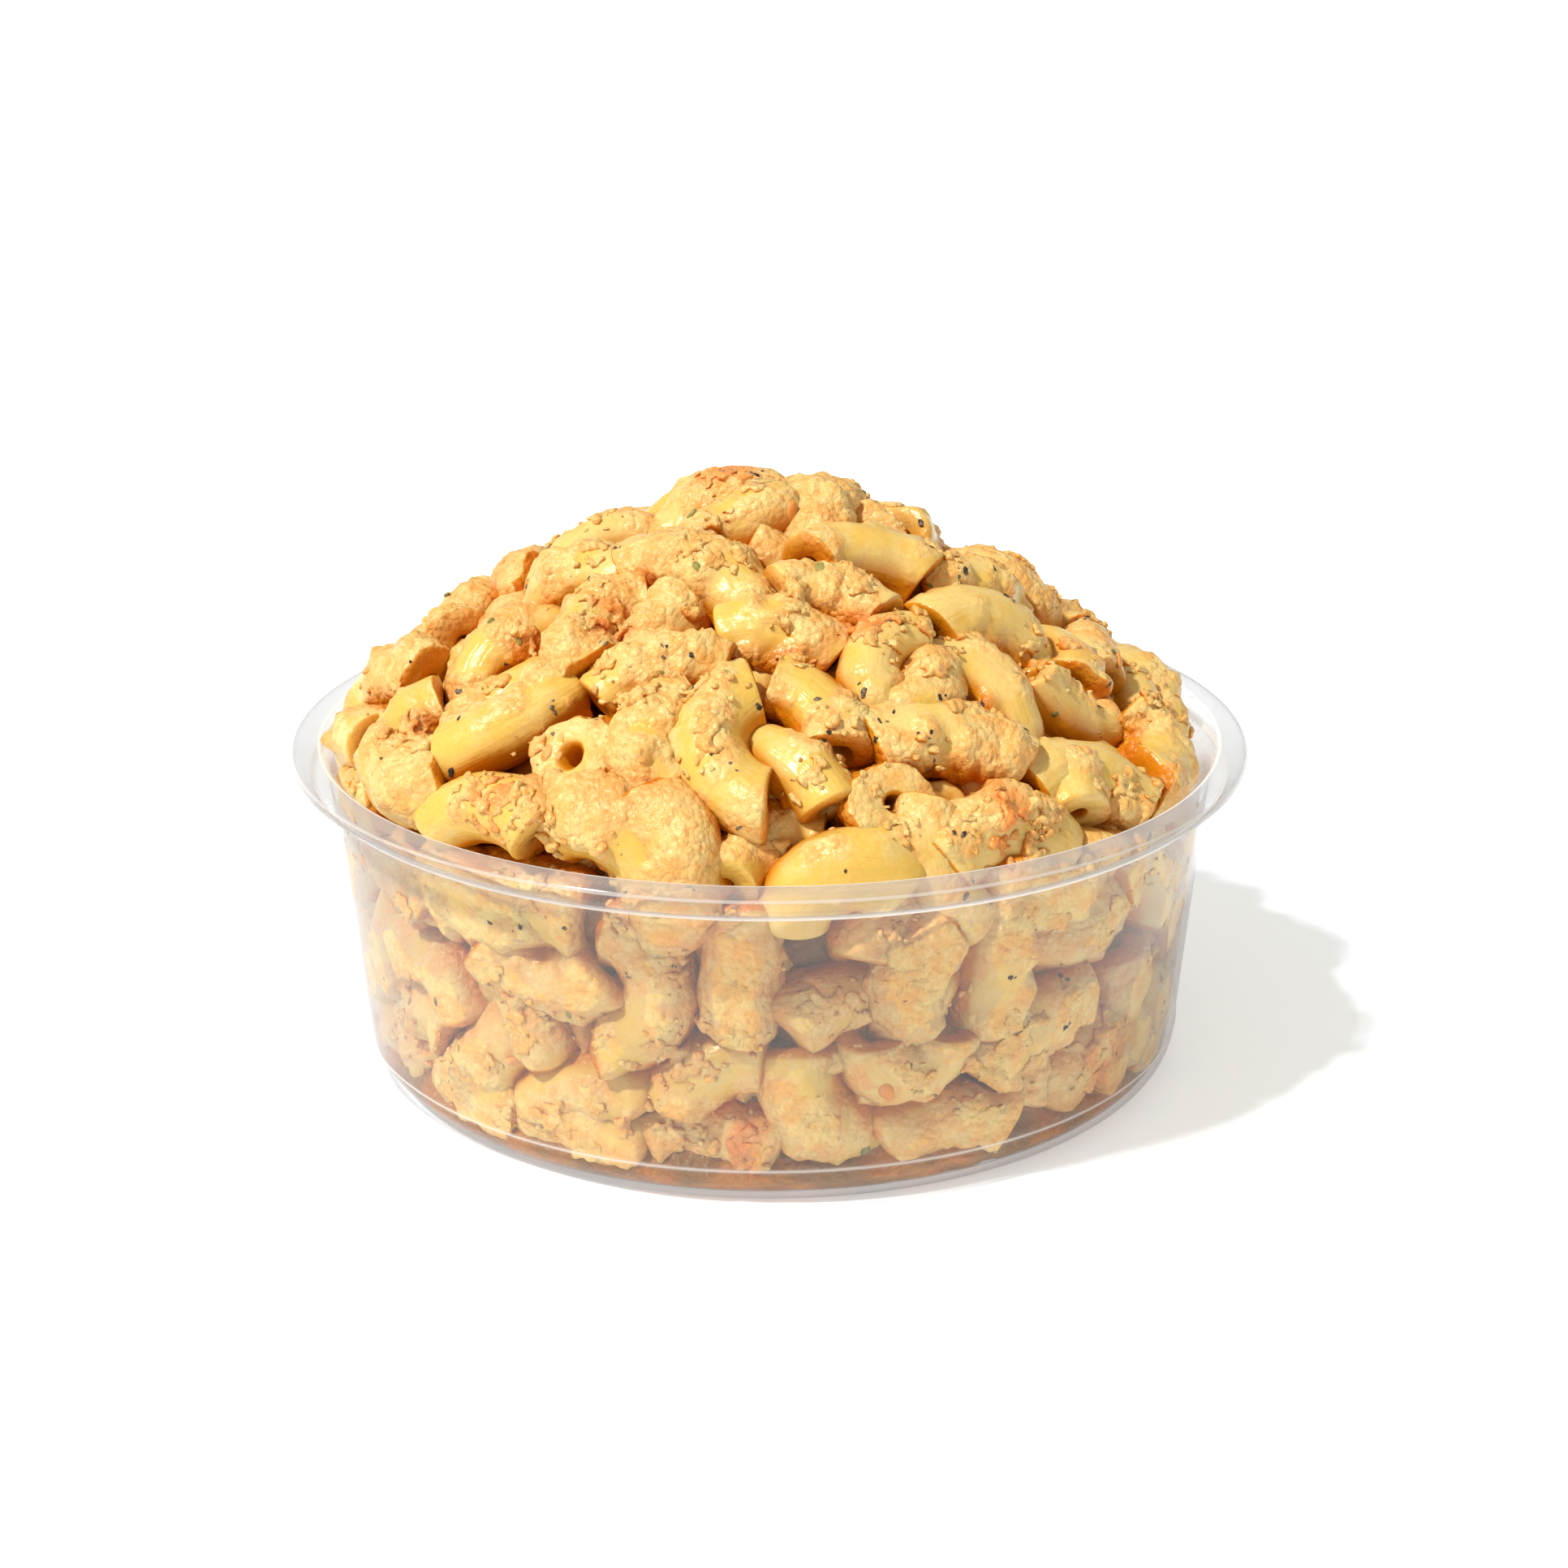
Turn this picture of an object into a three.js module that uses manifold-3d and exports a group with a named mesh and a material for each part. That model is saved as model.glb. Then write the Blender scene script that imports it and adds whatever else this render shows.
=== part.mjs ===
// A round deli tub heaped with macaroni salad.
// Millimetres, +Z up, origin on the table under the middle of the tub, front towards -Y.
//
// A bearing is an angle about the tub's axis, in degrees: 0 is the front, 90 is the right.

import * as THREE from 'three';
import { mergeVertices } from 'three/addons/utils/BufferGeometryUtils.js';
import Module from 'manifold-3d';

const wasm = await Module();
wasm.setup();

// ---------- driving dimensions ----------

// the tub
const RIM_RADIUS = 58.5;           // outside of the rim flange
const RIM_TOP = 40.5;              // top of the rim above the table
const MOUTH_RADIUS = 54.9;         // inner edge of the rim flange
const MOUTH_BEVEL = 0.7;
const FLANGE_DROP = 3.8;           // how far the flange turns down outside
const FLANGE_LIP = 0.9;            // the flange's lower edge is cut back by a lip of this height
const CROWN_RADIUS = 1.1;          // rounding of the flange's outer edge
const WALL_TOP_RADIUS = 54.0;      // outside of the wall under the flange
const WALL_FOOT_RADIUS = 51.2;     // outside of the wall just above the foot
const WALL_FOOT_Z = 5;
const CORNER_RADIUS = 4.2;         // between wall and floor
const FOOT_WIDTH = 2;              // of the flat ring that the tub stands on, inside the corner
const FLOOR_RAISE = 0.8;           // the floor inside the foot ring sits this much higher
const SHEET = 0.8;                 // thickness of the plastic
const TUB_SIDES = 48;
const CORNER_STEPS = 3;            // straight pieces round the corner's section, and round the crown's
const CROWN_STEPS = 4;
const CROWN_START = -30;           // degrees below level at which the flange's outer edge starts to round

// the heap
const APEX_Z = 72;                 // highest point of the heap
const EDGE_Z = 42;                 // where the heap meets the rim, on average
const EDGE_TILT = 2;               // higher on the left and lower on the right
const HEAP_RADIUS = 55;
const HEAP_POWER = 1.5;            // how round the heap's outline is
const SPILL_RADIUS = 56;           // how far a piece may reach out above the rim
const CLEARANCE = 0.35;            // between food and plastic
const CORE_DEPTH = 4.6;            // the core's surface lies this far under the heap's outline
const CORE_FOOT_Z = 8;             // below this height the core narrows
const CORE_LIFT = 3;               // the core ends this far above the lowest food
const CORE_RINGS = 6;
const CORE_SIDES = 20;
const SLOPE_STEP = 0.05;           // half the distance over which the outline's slope is measured
const SPILL_RISE = 1;              // the room widens from the mouth to the spill over this height
const ROOM_TOP = 108;              // the room for food ends well above the heap

// one elbow of macaroni
const SHORT = 12;                  // centreline length of the shortest and longest
const LONG = 19;
const THIN = 3.75;                 // outside radius of the shortest and longest
const THICK = 4.6;
const BORE_SHARE = 0.38;           // bore radius over outside radius
const BORE_DEPTH = 4;
const BORE_FACING = 0;             // least cosine between an open end's way and the way out of the heap
const COVERED_GAP = 0.5;           // an end closer to another piece than this shows no bore
const ELBOW_SIDES = 6;
const DEGREES_A_STEP = 60;
const BORE_SIDES = 4;
const END_BACK = 0.8;              // the way of an open end is measured from here on the centreline
const STATIONS = [-1, -0.5, 0, 0.5, 1];
const BEADS = [-1, -2 / 3, -1 / 3, 0, 1 / 3, 2 / 3, 1];
const BEAD_INSET = 1.5;            // the end beads lie in from both ends, by half this many radii

// lumps of dressing and cuts of carrot that lie on top
const LUMPS = 24;
const LUMP_SMALL = 1.7;            // radius of the smallest and largest
const LUMP_LARGE = 3.2;
const LUMP_SINK = 0.5;             // share of its radius that a lump's middle lies under the outline
const LUMP_REACH = 52;             // how far from the axis the outermost lies
const LUMP_STEP = 137.5;           // bearing from one to the next, which spreads them evenly

// packing
const SQUASH = 0.5;                // soft pieces press this far into each other
const ROUNDS = 45;                 // passes that push the pieces apart
const GRIP = 0.15;                 // how easily a placed piece moves, beside 1 for a loose one
const TURN_ARM = 70;               // square of the lever arm that turns a pushed piece
const SEED = 7;
const LOOSE_PIECES = [['top', 50], ['side', 44], ['floor', 8]];
const TRIES = 30;                  // throws allowed for each loose piece
const THROWN_DEPTH = 4;            // a loose piece may start less deep than this in the others
const TOP_REACH = 54;              // how far from the axis loose pieces start, on top and on the floor
const FLOOR_REACH = 46;
const SIDE_LOW = 6;                // lowest start of a loose side piece, and the range above it
const SIDE_RANGE = 31;
const ROLLS = [-40, 80];           // a loose piece's roll, tip, sweep and lift: least and most
const TIPS = [-8, 14];
const SWEEPS = [60, 150];
const LIFTS = [-2.2, 0.8];
const SEAT_ROUNDS = 6;             // steps in which a fresh piece finds the outline
const SEAT_SHARE = 0.7;            // share of a breach of the wall that one of them takes back
const PUSH_SHARE = 0.5;            // share of an overlap or a breach that one round takes back
const PUSH_MOST = 0.8;             // furthest that one contact moves a piece in a round
const CLIMB_SHARE = 0.3;           // share of its way back to the outline that a piece makes in a round
const CLIMB_MOST = 0.5;
const HELD_GRIP = 4;               // a placed piece under the others moves this much more easily
const TINY = 1e-6;                 // keeps a division by a length from failing

// Pieces that stand out, placed one by one. A piece lies on the heap's outline at a bearing and at a
// distance from the axis ('top') or a height ('side'). Its middle runs along the turn: on top the
// compass direction from the right towards the back, on the side the angle above level to the right.
// Roll lifts the back of the bend out of the surface, and tip lifts its leading end.
//  zone, bearing, place, turn, roll, tip, sweep, lift, length
const LIFT_COLUMN = 7;
const PLACED = [
  ['top', -126, 9, 0, 70, 0, 110, 0.5, 15],
  ['top', 72, 5, 95, 60, 0, 100, 0, 15],
  ['top', -99, 21, 12, 60, 0, 120, 0.5, 16],
  ['top', -26, 19, -40, 50, 0, 90, 0.5, 17],
  ['top', 52, 15, 12, 20, 0, 70, 0.5, 15],
  ['top', 26, 20, 8, 0, 0, 60, -1, 13],
  ['top', 67, 29, 20, 45, 0, 100, 0.5, 17],
  ['top', 102, 32, 10, 80, 0, 140, 1, 16],
  ['top', 94, 41, 100, 30, 0, 60, 0, 14],
  ['top', 102, 50, -30, 45, 0, 110, 0.5, 16],
  ['top', 67, 42, 195, -30, 10, 80, 0.5, 15],
  ['top', 70, 51, -75, 0, 0, 130, 0.5, 17],
  ['top', 52, 50, 20, 30, 0, 80, 0, 17],
  ['top', 34, 49, 25, 50, 0, 90, 0, 17],
  ['top', 28, 40, 8, 40, 0, 70, 1, 17],
  ['top', 43, 36, -35, 50, 0, 130, 0.3, 17],
  ['top', 14, 46, -80, -90, 25, 65, 2.5, 17],
  ['top', 23, 45, -50, -60, 20, 80, -2, 13],
  ['top', -25, 42, -115, -90, 28, 70, 2, 16],
  ['top', -46, 43, 205, 30, 5, 70, 0.8, 15],
  ['top', -59, 51, 90, 10, 0, 150, 0.5, 18],
  ['top', -36, 50, -20, 40, 0, 70, 0, 16],
  ['top', -20, 51, -50, 60, 0, 90, 0, 17],
  ['top', -8, 44, 97, 10, 0, 140, 1.2, 19],
  ['top', -7, 51, 10, 0, 0, 70, -1, 14],
  ['top', 6, 44, -50, 60, 0, 50, -0.5, 12],
  ['top', 10, 40, -70, 0, 0, 60, -1, 12],
  ['top', 7, 52, 8, 60, 0, 140, -0.5, 16],
  ['top', -21, 32, 10, 30, 0, 60, 0, 15],
  ['top', -47, 28, 60, 30, 0, 120, 0.3, 16],
  ['top', -68, 35, 30, 60, 0, 140, 0, 16],
  ['top', -94, 41, 90, 0, 0, 70, 0, 14],
  ['top', -100, 54, -120, 0, 5, 90, 0, 15],
  ['top', 3, 25, -20, 50, 0, 70, 0, 13],
  ['side', -35, 33, 3, 0, 0, 45, 0, 19],
  ['side', -29, 25, 180, 0, 0, 80, 0, 16],
  ['side', -16, 24, -90, 0, 0, 150, 0, 19],
  ['side', -3, 30, 90, 60, 0, 30, 0, 14],
  ['side', -9, 15, 40, 0, 0, 60, -1, 12],
  ['side', -8, 6, 0, -60, 0, 60, 0, 17],
  ['side', -26, 12, 10, 0, 0, 80, 0, 14],
  ['side', -52, 22, -20, 0, 0, 90, 0, 15],
  ['side', 14, 23, 3, -30, 0, 50, 0, 19],
  ['side', 30, 28, 82, 60, 0, 25, 0, 15],
  ['side', 38, 17, 22, 0, 0, 50, 0, 16],
  ['side', 57, 11, 78, 180, 0, 50, 0, 16],
  ['side', 6, 15, 30, 0, 60, 60, 0, 12],
  ['side', 18, 13, 180, 0, 0, 170, 0, 14],
  ['side', 24, 5, 10, 0, 0, 60, 0, 15],
  ['side', 44, 8, 60, 0, 0, 60, -1.5, 15],
];

// ---------- small helpers ----------

const radians = THREE.MathUtils.degToRad;
const vec = (x, y, z) => new THREE.Vector3(x, y, z);

// A repeatable stream of numbers between lo and hi.
function makeRandom(seed) {
  let state = seed;
  return (lo, hi) => {
    state = (state * 1664525 + 1013904223) % 4294967296;
    return lo + (hi - lo) * state / 4294967296;
  };
}

function toManifold(geometry) {
  const bare = geometry.clone();
  bare.deleteAttribute('normal');
  bare.deleteAttribute('uv');
  const merged = mergeVertices(bare);
  return new wasm.Manifold(new wasm.Mesh({
    numProp: 3,
    vertProperties: new Float32Array(merged.attributes.position.array),
    triVerts: new Uint32Array(merged.index.array),
  }));
}

function toGeometry(solid) {
  const mesh = solid.getMesh();
  const geometry = new THREE.BufferGeometry();
  geometry.setAttribute('position', new THREE.BufferAttribute(mesh.vertProperties, 3));
  geometry.setIndex(new THREE.BufferAttribute(mesh.triVerts, 1));
  geometry.computeVertexNormals();
  return geometry;
}

// A solid of revolution about Z from [radius, height] points that run round the section.
function turned(points, sides) {
  const profile = points.map(([radius, height]) => new THREE.Vector2(radius, height));
  return new THREE.LatheGeometry(profile, sides).rotateX(Math.PI / 2);
}

// Points on an arc in the section plane, angles in degrees from the outward direction.
function arc(centreR, centreZ, radius, from, to, steps) {
  const points = [];
  for (let i = 0; i <= steps; i += 1) {
    const angle = radians(from + (to - from) * i / steps);
    points.push([centreR + radius * Math.cos(angle), centreZ + radius * Math.sin(angle)]);
  }
  return points;
}

// ---------- the tub ----------

// Outside radius of the wall at height z.
function wallOutside(z) {
  const share = (z - WALL_FOOT_Z) / (RIM_TOP - FLANGE_DROP - WALL_FOOT_Z);
  return WALL_FOOT_RADIUS + (WALL_TOP_RADIUS - WALL_FOOT_RADIUS) * share;
}

const wallInside = (z) => wallOutside(z) - SHEET;

// Radius at which the floor turns up into the wall.
const CORNER_CENTRE = WALL_FOOT_RADIUS - CORNER_RADIUS;

function buildTub() {
  const flangeFoot = RIM_TOP - FLANGE_DROP;
  const lipRadius = RIM_RADIUS - 2 * CROWN_RADIUS;
  const outside = [
    [0, FLOOR_RAISE],
    [CORNER_CENTRE - FOOT_WIDTH - FLOOR_RAISE, FLOOR_RAISE],
    [CORNER_CENTRE - FOOT_WIDTH, 0],
    ...arc(CORNER_CENTRE, CORNER_RADIUS, CORNER_RADIUS, -90, 0, CORNER_STEPS),
    [wallOutside(flangeFoot), flangeFoot],
    [lipRadius - FLANGE_LIP, flangeFoot],
    [lipRadius, flangeFoot + FLANGE_LIP],
    ...arc(RIM_RADIUS - CROWN_RADIUS, RIM_TOP - CROWN_RADIUS, CROWN_RADIUS,
      CROWN_START, 90, CROWN_STEPS),
  ];
  const inside = [
    [MOUTH_RADIUS, RIM_TOP],
    [MOUTH_RADIUS - MOUTH_BEVEL, RIM_TOP - MOUTH_BEVEL],
    [wallInside(flangeFoot), flangeFoot],
    ...arc(CORNER_CENTRE, CORNER_RADIUS, CORNER_RADIUS - SHEET, 0, -90, CORNER_STEPS),
    [CORNER_CENTRE - FOOT_WIDTH, SHEET],
    [CORNER_CENTRE - FOOT_WIDTH - FLOOR_RAISE, FLOOR_RAISE + SHEET],
    [0, FLOOR_RAISE + SHEET],
  ];
  return turned([...outside, ...inside], TUB_SIDES);
}

// ---------- the outline of the heap ----------

function heapTop(x, y) {
  const r = Math.hypot(x, y);
  const edge = EDGE_Z - EDGE_TILT * (x / Math.max(r, TINY));
  return edge + (APEX_Z - edge) * (1 - (r / HEAP_RADIUS) ** HEAP_POWER);
}

function topNormal(x, y) {
  const step = SLOPE_STEP;
  const slopeX = (heapTop(x + step, y) - heapTop(x - step, y)) / (2 * step);
  const slopeY = (heapTop(x, y + step) - heapTop(x, y - step)) / (2 * step);
  return vec(-slopeX, -slopeY, 1).normalize();
}

// How far out food may lie at height z, and how low.
const foodRadius = (z) => wallInside(Math.min(z, RIM_TOP)) - CLEARANCE;
const FOOD_FLOOR = FLOOR_RAISE + SHEET + CLEARANCE;

// ---------- elbows of macaroni ----------

// The point of the heap's outline that a piece lies on, the way out of the heap there, and the
// direction that the middle of the piece runs in.
function footing(zone, bearing, place, turn) {
  const s = Math.sin(radians(bearing));
  const c = Math.cos(radians(bearing));
  const ct = Math.cos(radians(turn));
  const st = Math.sin(radians(turn));
  let point;
  let out;
  let along = vec(ct, st, 0);
  if (zone === 'top') {
    point = vec(place * s, -place * c, heapTop(place * s, -place * c));
    out = topNormal(point.x, point.y);
  } else if (zone === 'side') {
    point = vec(foodRadius(place) * s, -foodRadius(place) * c, place);
    out = vec(s, -c, 0);
    along = vec(ct * c, ct * s, st);
  } else {
    point = vec(place * s, -place * c, FOOD_FLOOR);
    out = vec(0, 0, -1);
  }
  along.addScaledVector(out, -along.dot(out)).normalize();
  return { point, out, along };
}

function makeElbow([zone, bearing, place, turn, roll, tip, sweep, lift, length], grip) {
  const { point, out, along } = footing(zone, bearing, place, turn);
  const left = out.clone().cross(along);
  const ahead = along.clone().multiplyScalar(Math.cos(radians(tip)))
    .addScaledVector(out, Math.sin(radians(tip)));
  const above = out.clone().multiplyScalar(Math.cos(radians(tip)))
    .addScaledVector(along, -Math.sin(radians(tip)));
  const back = left.multiplyScalar(Math.cos(radians(roll)))
    .addScaledVector(above, Math.sin(radians(roll)));
  const radius = THIN + (THICK - THIN) * (length - SHORT) / (LONG - SHORT);
  const elbow = {
    zone, out, ahead, back, radius, lift, length, grip,
    sweep: radians(sweep),
    bend: length / radians(sweep),
    middle: point.addScaledVector(out, -radius),
  };
  for (let i = 0; i < SEAT_ROUNDS; i += 1) {
    seat(elbow);
  }
  elbow.beads = beads(elbow);
  return elbow;
}

// Centreline point for k from -1, the trailing end, to 1, the leading end.
function centreline(elbow, k) {
  const angle = k * elbow.sweep / 2;
  return elbow.middle.clone()
    .addScaledVector(elbow.back, elbow.bend * (Math.cos(angle) - 1))
    .addScaledVector(elbow.ahead, elbow.bend * Math.sin(angle));
}

// Balls along the piece that stand for it when pieces push each other.
function beads(elbow) {
  const reach = 1 - BEAD_INSET * elbow.radius / elbow.length;
  return BEADS.map((k) => centreline(elbow, k * reach));
}

// How far from the axis a centreline point may lie.
function reachLimit(elbow, p) {
  const high = p.z > RIM_TOP + elbow.radius;
  return (high ? SPILL_RADIUS : foodRadius(p.z)) - elbow.radius;
}

// How far a centreline point stands above the outline that its zone gives it.
function proud(zone, p) {
  if (zone === 'top') {
    return (p.z - heapTop(p.x, p.y)) * topNormal(p.x, p.y).z;
  }
  if (zone === 'side') {
    return Math.hypot(p.x, p.y) - foodRadius(p.z);
  }
  return FOOD_FLOOR - p.z;
}

// Moves a fresh piece in or out until it touches the outline, less its lift.
function seat(elbow) {
  const points = STATIONS.map((k) => centreline(elbow, k));
  const most = Math.max(...points.map((p) => proud(elbow.zone, p)));
  elbow.middle.addScaledVector(elbow.out, elbow.lift - elbow.radius - most);
  for (const p of points) {
    const r = Math.hypot(p.x, p.y);
    const limit = reachLimit(elbow, p);
    if (elbow.zone !== 'side' && r > limit) {
      elbow.middle.addScaledVector(vec(p.x / r, p.y / r, 0), SEAT_SHARE * (limit - r));
    }
  }
}

// ---------- packing ----------

// The deepest contact between two pieces: how deep, where on each, and the way apart.
function contact(a, b) {
  const reach = a.radius + b.radius;
  let best = null;
  for (const p of a.beads) {
    for (const q of b.beads) {
      const gap = p.distanceTo(q);
      const depth = reach - gap;
      if (depth > (best ? best.depth : 0)) {
        best = { depth, p, q, apart: p.clone().sub(q).divideScalar(Math.max(gap, TINY)) };
      }
    }
  }
  return best;
}

function deepestContact(elbow, others) {
  let deepest = 0;
  for (const other of others) {
    if (elbow.middle.distanceTo(other.middle) < 2 * LONG) {
      const found = contact(elbow, other);
      deepest = Math.max(deepest, found ? found.depth : 0);
    }
  }
  return deepest;
}

// Turns a piece by a small rotation vector.
function spin(elbow, turn) {
  elbow.ahead.add(turn.clone().cross(elbow.ahead)).normalize();
  elbow.back.add(turn.clone().cross(elbow.back));
  elbow.back.addScaledVector(elbow.ahead, -elbow.back.dot(elbow.ahead)).normalize();
}

// Pushes a piece at one of its points, which moves it and turns it.
function push(elbow, point, direction, amount) {
  const arm = point.clone().sub(elbow.middle);
  elbow.middle.addScaledVector(direction, amount);
  spin(elbow, arm.cross(direction).multiplyScalar(amount / TURN_ARM));
}

// Keeps a piece under the heap's outline and inside the tub, and up against its own outline.
function hold(elbow) {
  for (const k of STATIONS) {
    let p = centreline(elbow, k);
    const normal = topNormal(p.x, p.y);
    const over = proud('top', p) + elbow.radius - Math.max(elbow.lift, 0);
    if (over > 0) {
      push(elbow, p, normal, -PUSH_SHARE * over);
      p = centreline(elbow, k);
    }
    const r = Math.hypot(p.x, p.y);
    const limit = reachLimit(elbow, p);
    if (r > limit) {
      push(elbow, p, vec(p.x / r, p.y / r, 0), PUSH_SHARE * (limit - r));
      p = centreline(elbow, k);
    }
    const sunk = FOOD_FLOOR + elbow.radius - p.z;
    if (sunk > 0) {
      push(elbow, p, vec(0, 0, 1), PUSH_SHARE * sunk);
    }
  }
  const most = Math.max(...STATIONS.map((k) => proud(elbow.zone, centreline(elbow, k))));
  const slack = elbow.lift - elbow.radius - most;
  if (slack > 0) {
    elbow.middle.addScaledVector(elbow.out, Math.min(CLIMB_SHARE * slack, CLIMB_MOST));
  }
}

// Pushes overlapping pieces apart, all pairs at once, a little in each round.
function settle(elbows) {
  for (let round = 0; round < ROUNDS; round += 1) {
    const pushes = elbows.map(() => []);
    for (let i = 0; i < elbows.length; i += 1) {
      for (let j = 0; j < i; j += 1) {
        const [a, b] = [elbows[i], elbows[j]];
        if (a.middle.distanceTo(b.middle) < 2 * LONG) {
          const found = contact(a, b);
          if (found && found.depth > SQUASH) {
            const share = PUSH_SHARE * (found.depth - SQUASH) / (a.grip + b.grip);
            pushes[i].push([found.p, found.apart, share * a.grip]);
            pushes[j].push([found.q, found.apart, -share * b.grip]);
          }
        }
      }
    }
    elbows.forEach((elbow, i) => {
      for (const [point, direction, amount] of pushes[i]) {
        push(elbow, point, direction, THREE.MathUtils.clamp(amount, -PUSH_MOST, PUSH_MOST));
      }
      hold(elbow);
      elbow.beads = beads(elbow);
    });
  }
}

// A loose piece's distance from the axis or height, for a share of its zone from 0 to 1.
function placeIn(zone, share) {
  if (zone === 'side') {
    return SIDE_LOW + SIDE_RANGE * share;
  }
  return (zone === 'top' ? TOP_REACH : FLOOR_REACH) * Math.sqrt(share);
}

function packHeap() {
  const random = makeRandom(SEED);
  const elbows = PLACED.map((row) => makeElbow(row, row[LIFT_COLUMN] < 0 ? HELD_GRIP * GRIP : GRIP));
  for (const [zone, count] of LOOSE_PIECES) {
    let made = 0;
    for (let tries = 0; made < count && tries < TRIES * count; tries += 1) {
      const bearing = random(-180, 180);
      const place = placeIn(zone, random(0, 1));
      const turn = random(0, 360);
      const roll = random(...ROLLS);
      const tip = random(...TIPS);
      const sweep = random(...SWEEPS);
      const lift = random(...LIFTS);
      const length = random(SHORT + 1, LONG - 1);
      const row = [zone, bearing, place, turn, roll, tip, sweep, lift, length];
      const elbow = makeElbow(row, 1);
      if (deepestContact(elbow, elbows) < THROWN_DEPTH) {
        elbows.push(elbow);
        made += 1;
      }
    }
  }
  settle(elbows);
  return elbows;
}

// ---------- solids of the food ----------

// A bent bar of regular section along an elbow's centreline from k = from to k = to, where to is
// the greater.
function bentBar(elbow, radius, sides, from, to, steps) {
  const across = elbow.ahead.clone().cross(elbow.back);
  const positions = [];
  for (let i = 0; i <= steps; i += 1) {
    const k = from + (to - from) * i / steps;
    const angle = k * elbow.sweep / 2;
    const centre = centreline(elbow, k);
    const outward = elbow.back.clone().multiplyScalar(Math.cos(angle))
      .addScaledVector(elbow.ahead, Math.sin(angle));
    for (let s = 0; s < sides; s += 1) {
      const around = 2 * Math.PI * s / sides;
      const p = centre.clone()
        .addScaledVector(outward, radius * Math.cos(around))
        .addScaledVector(across, radius * Math.sin(around));
      positions.push(p.x, p.y, p.z);
    }
  }
  const index = [];
  for (let i = 0; i < steps; i += 1) {
    for (let s = 0; s < sides; s += 1) {
      const a = i * sides + s;
      const b = i * sides + (s + 1) % sides;
      index.push(a, b, a + sides, b, b + sides, a + sides);
    }
  }
  const last = steps * sides;
  for (let s = 1; s < sides - 1; s += 1) {
    index.push(0, s + 1, s, last, last + s, last + s + 1);
  }
  const geometry = new THREE.BufferGeometry();
  geometry.setAttribute('position', new THREE.Float32BufferAttribute(positions, 3));
  geometry.setIndex(index);
  return geometry;
}

function elbowSolid(elbow) {
  const steps = Math.ceil(elbow.sweep / radians(DEGREES_A_STEP));
  return toManifold(bentBar(elbow, elbow.radius, ELBOW_SIDES, -1, 1, steps));
}

// The mouth of the bore at the leading end (side 1) or the trailing end (side -1), or null where
// that end is covered by another piece or doesn't face out of the heap.
function boreSolid(elbow, side, elbows) {
  const end = centreline(elbow, side);
  const facing = end.clone().sub(centreline(elbow, END_BACK * side)).normalize().dot(elbow.out);
  const covered = elbows.some((other) => other !== elbow
    && other.beads.some((bead) => bead.distanceTo(end) < other.radius + COVERED_GAP));
  if (covered || facing < BORE_FACING || proud(elbow.zone, end) < -CORE_DEPTH) {
    return null;
  }
  const inner = side * (1 - 2 * BORE_DEPTH / elbow.length);
  const outer = side * (1 + 2 / elbow.length);
  const [from, to] = side > 0 ? [inner, outer] : [outer, inner];
  return toManifold(bentBar(elbow, BORE_SHARE * elbow.radius, BORE_SIDES, from, to, 1));
}

// The inner mass of the salad, under the pieces that show.
function coreSolid() {
  const points = [[0, APEX_Z - CORE_DEPTH]];
  const radius = foodRadius(RIM_TOP) - CORE_DEPTH;
  for (let i = 1; i <= CORE_RINGS; i += 1) {
    const r = radius * i / CORE_RINGS;
    points.push([r, heapTop(0, -r) - CORE_DEPTH]);
  }
  const footRadius = foodRadius(CORE_FOOT_Z);
  const floor = FOOD_FLOOR + CORE_LIFT;
  points.push([footRadius - CORE_DEPTH, CORE_FOOT_Z], [footRadius - 2 * CORE_DEPTH, floor], [0, floor]);
  return toManifold(turned(points.reverse(), CORE_SIDES));
}

// The space that food may fill, so that pieces lie flat against the plastic.
function roomSolid() {
  const narrow = Math.cos(Math.PI / TUB_SIDES);
  const mouth = foodRadius(RIM_TOP - FLANGE_DROP) * narrow;
  const points = [
    [0, FOOD_FLOOR],
    ...arc(CORNER_CENTRE, CORNER_RADIUS, CORNER_RADIUS - SHEET, -90, 0, CORNER_STEPS)
      .map(([r, z]) => [r * narrow - CLEARANCE, Math.max(z + CLEARANCE, FOOD_FLOOR)]),
    [mouth, RIM_TOP - FLANGE_DROP],
    [mouth, RIM_TOP + CLEARANCE],
    [SPILL_RADIUS, RIM_TOP + CLEARANCE + SPILL_RISE],
    [SPILL_RADIUS, ROOM_TOP],
    [0, ROOM_TOP],
  ];
  return toManifold(turned(points, TUB_SIDES));
}

function lumpSolids() {
  const random = makeRandom(SEED + 1);
  const solids = [];
  for (let i = 0; i < LUMPS; i += 1) {
    const place = LUMP_REACH * Math.sqrt((i + 0.5) / LUMPS);
    const radius = random(LUMP_SMALL, LUMP_LARGE);
    const { point, out } = footing('top', LUMP_STEP * i, place, 0);
    const middle = point.addScaledVector(out, -LUMP_SINK * radius);
    const lump = new THREE.IcosahedronGeometry(radius, 0)
      .rotateZ(random(0, Math.PI))
      .translate(middle.x, middle.y, middle.z);
    solids.push(toManifold(lump));
  }
  return solids;
}

// The one body that holds together, without loose scraps and sealed pockets.
function largestBody(solid) {
  const bodies = solid.decompose();
  return bodies.reduce((best, body) => (body.volume() > best.volume() ? body : best));
}

function buildHeap() {
  const elbows = packHeap();
  const bores = elbows.flatMap((elbow) => [1, -1].map((side) => boreSolid(elbow, side, elbows)))
    .filter((solid) => solid !== null);
  const mass = wasm.Manifold.union([coreSolid(), ...elbows.map(elbowSolid), ...lumpSolids()]);
  return largestBody(mass.subtract(wasm.Manifold.union(bores)).intersect(roomSolid()));
}

// ---------- the model ----------

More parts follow.
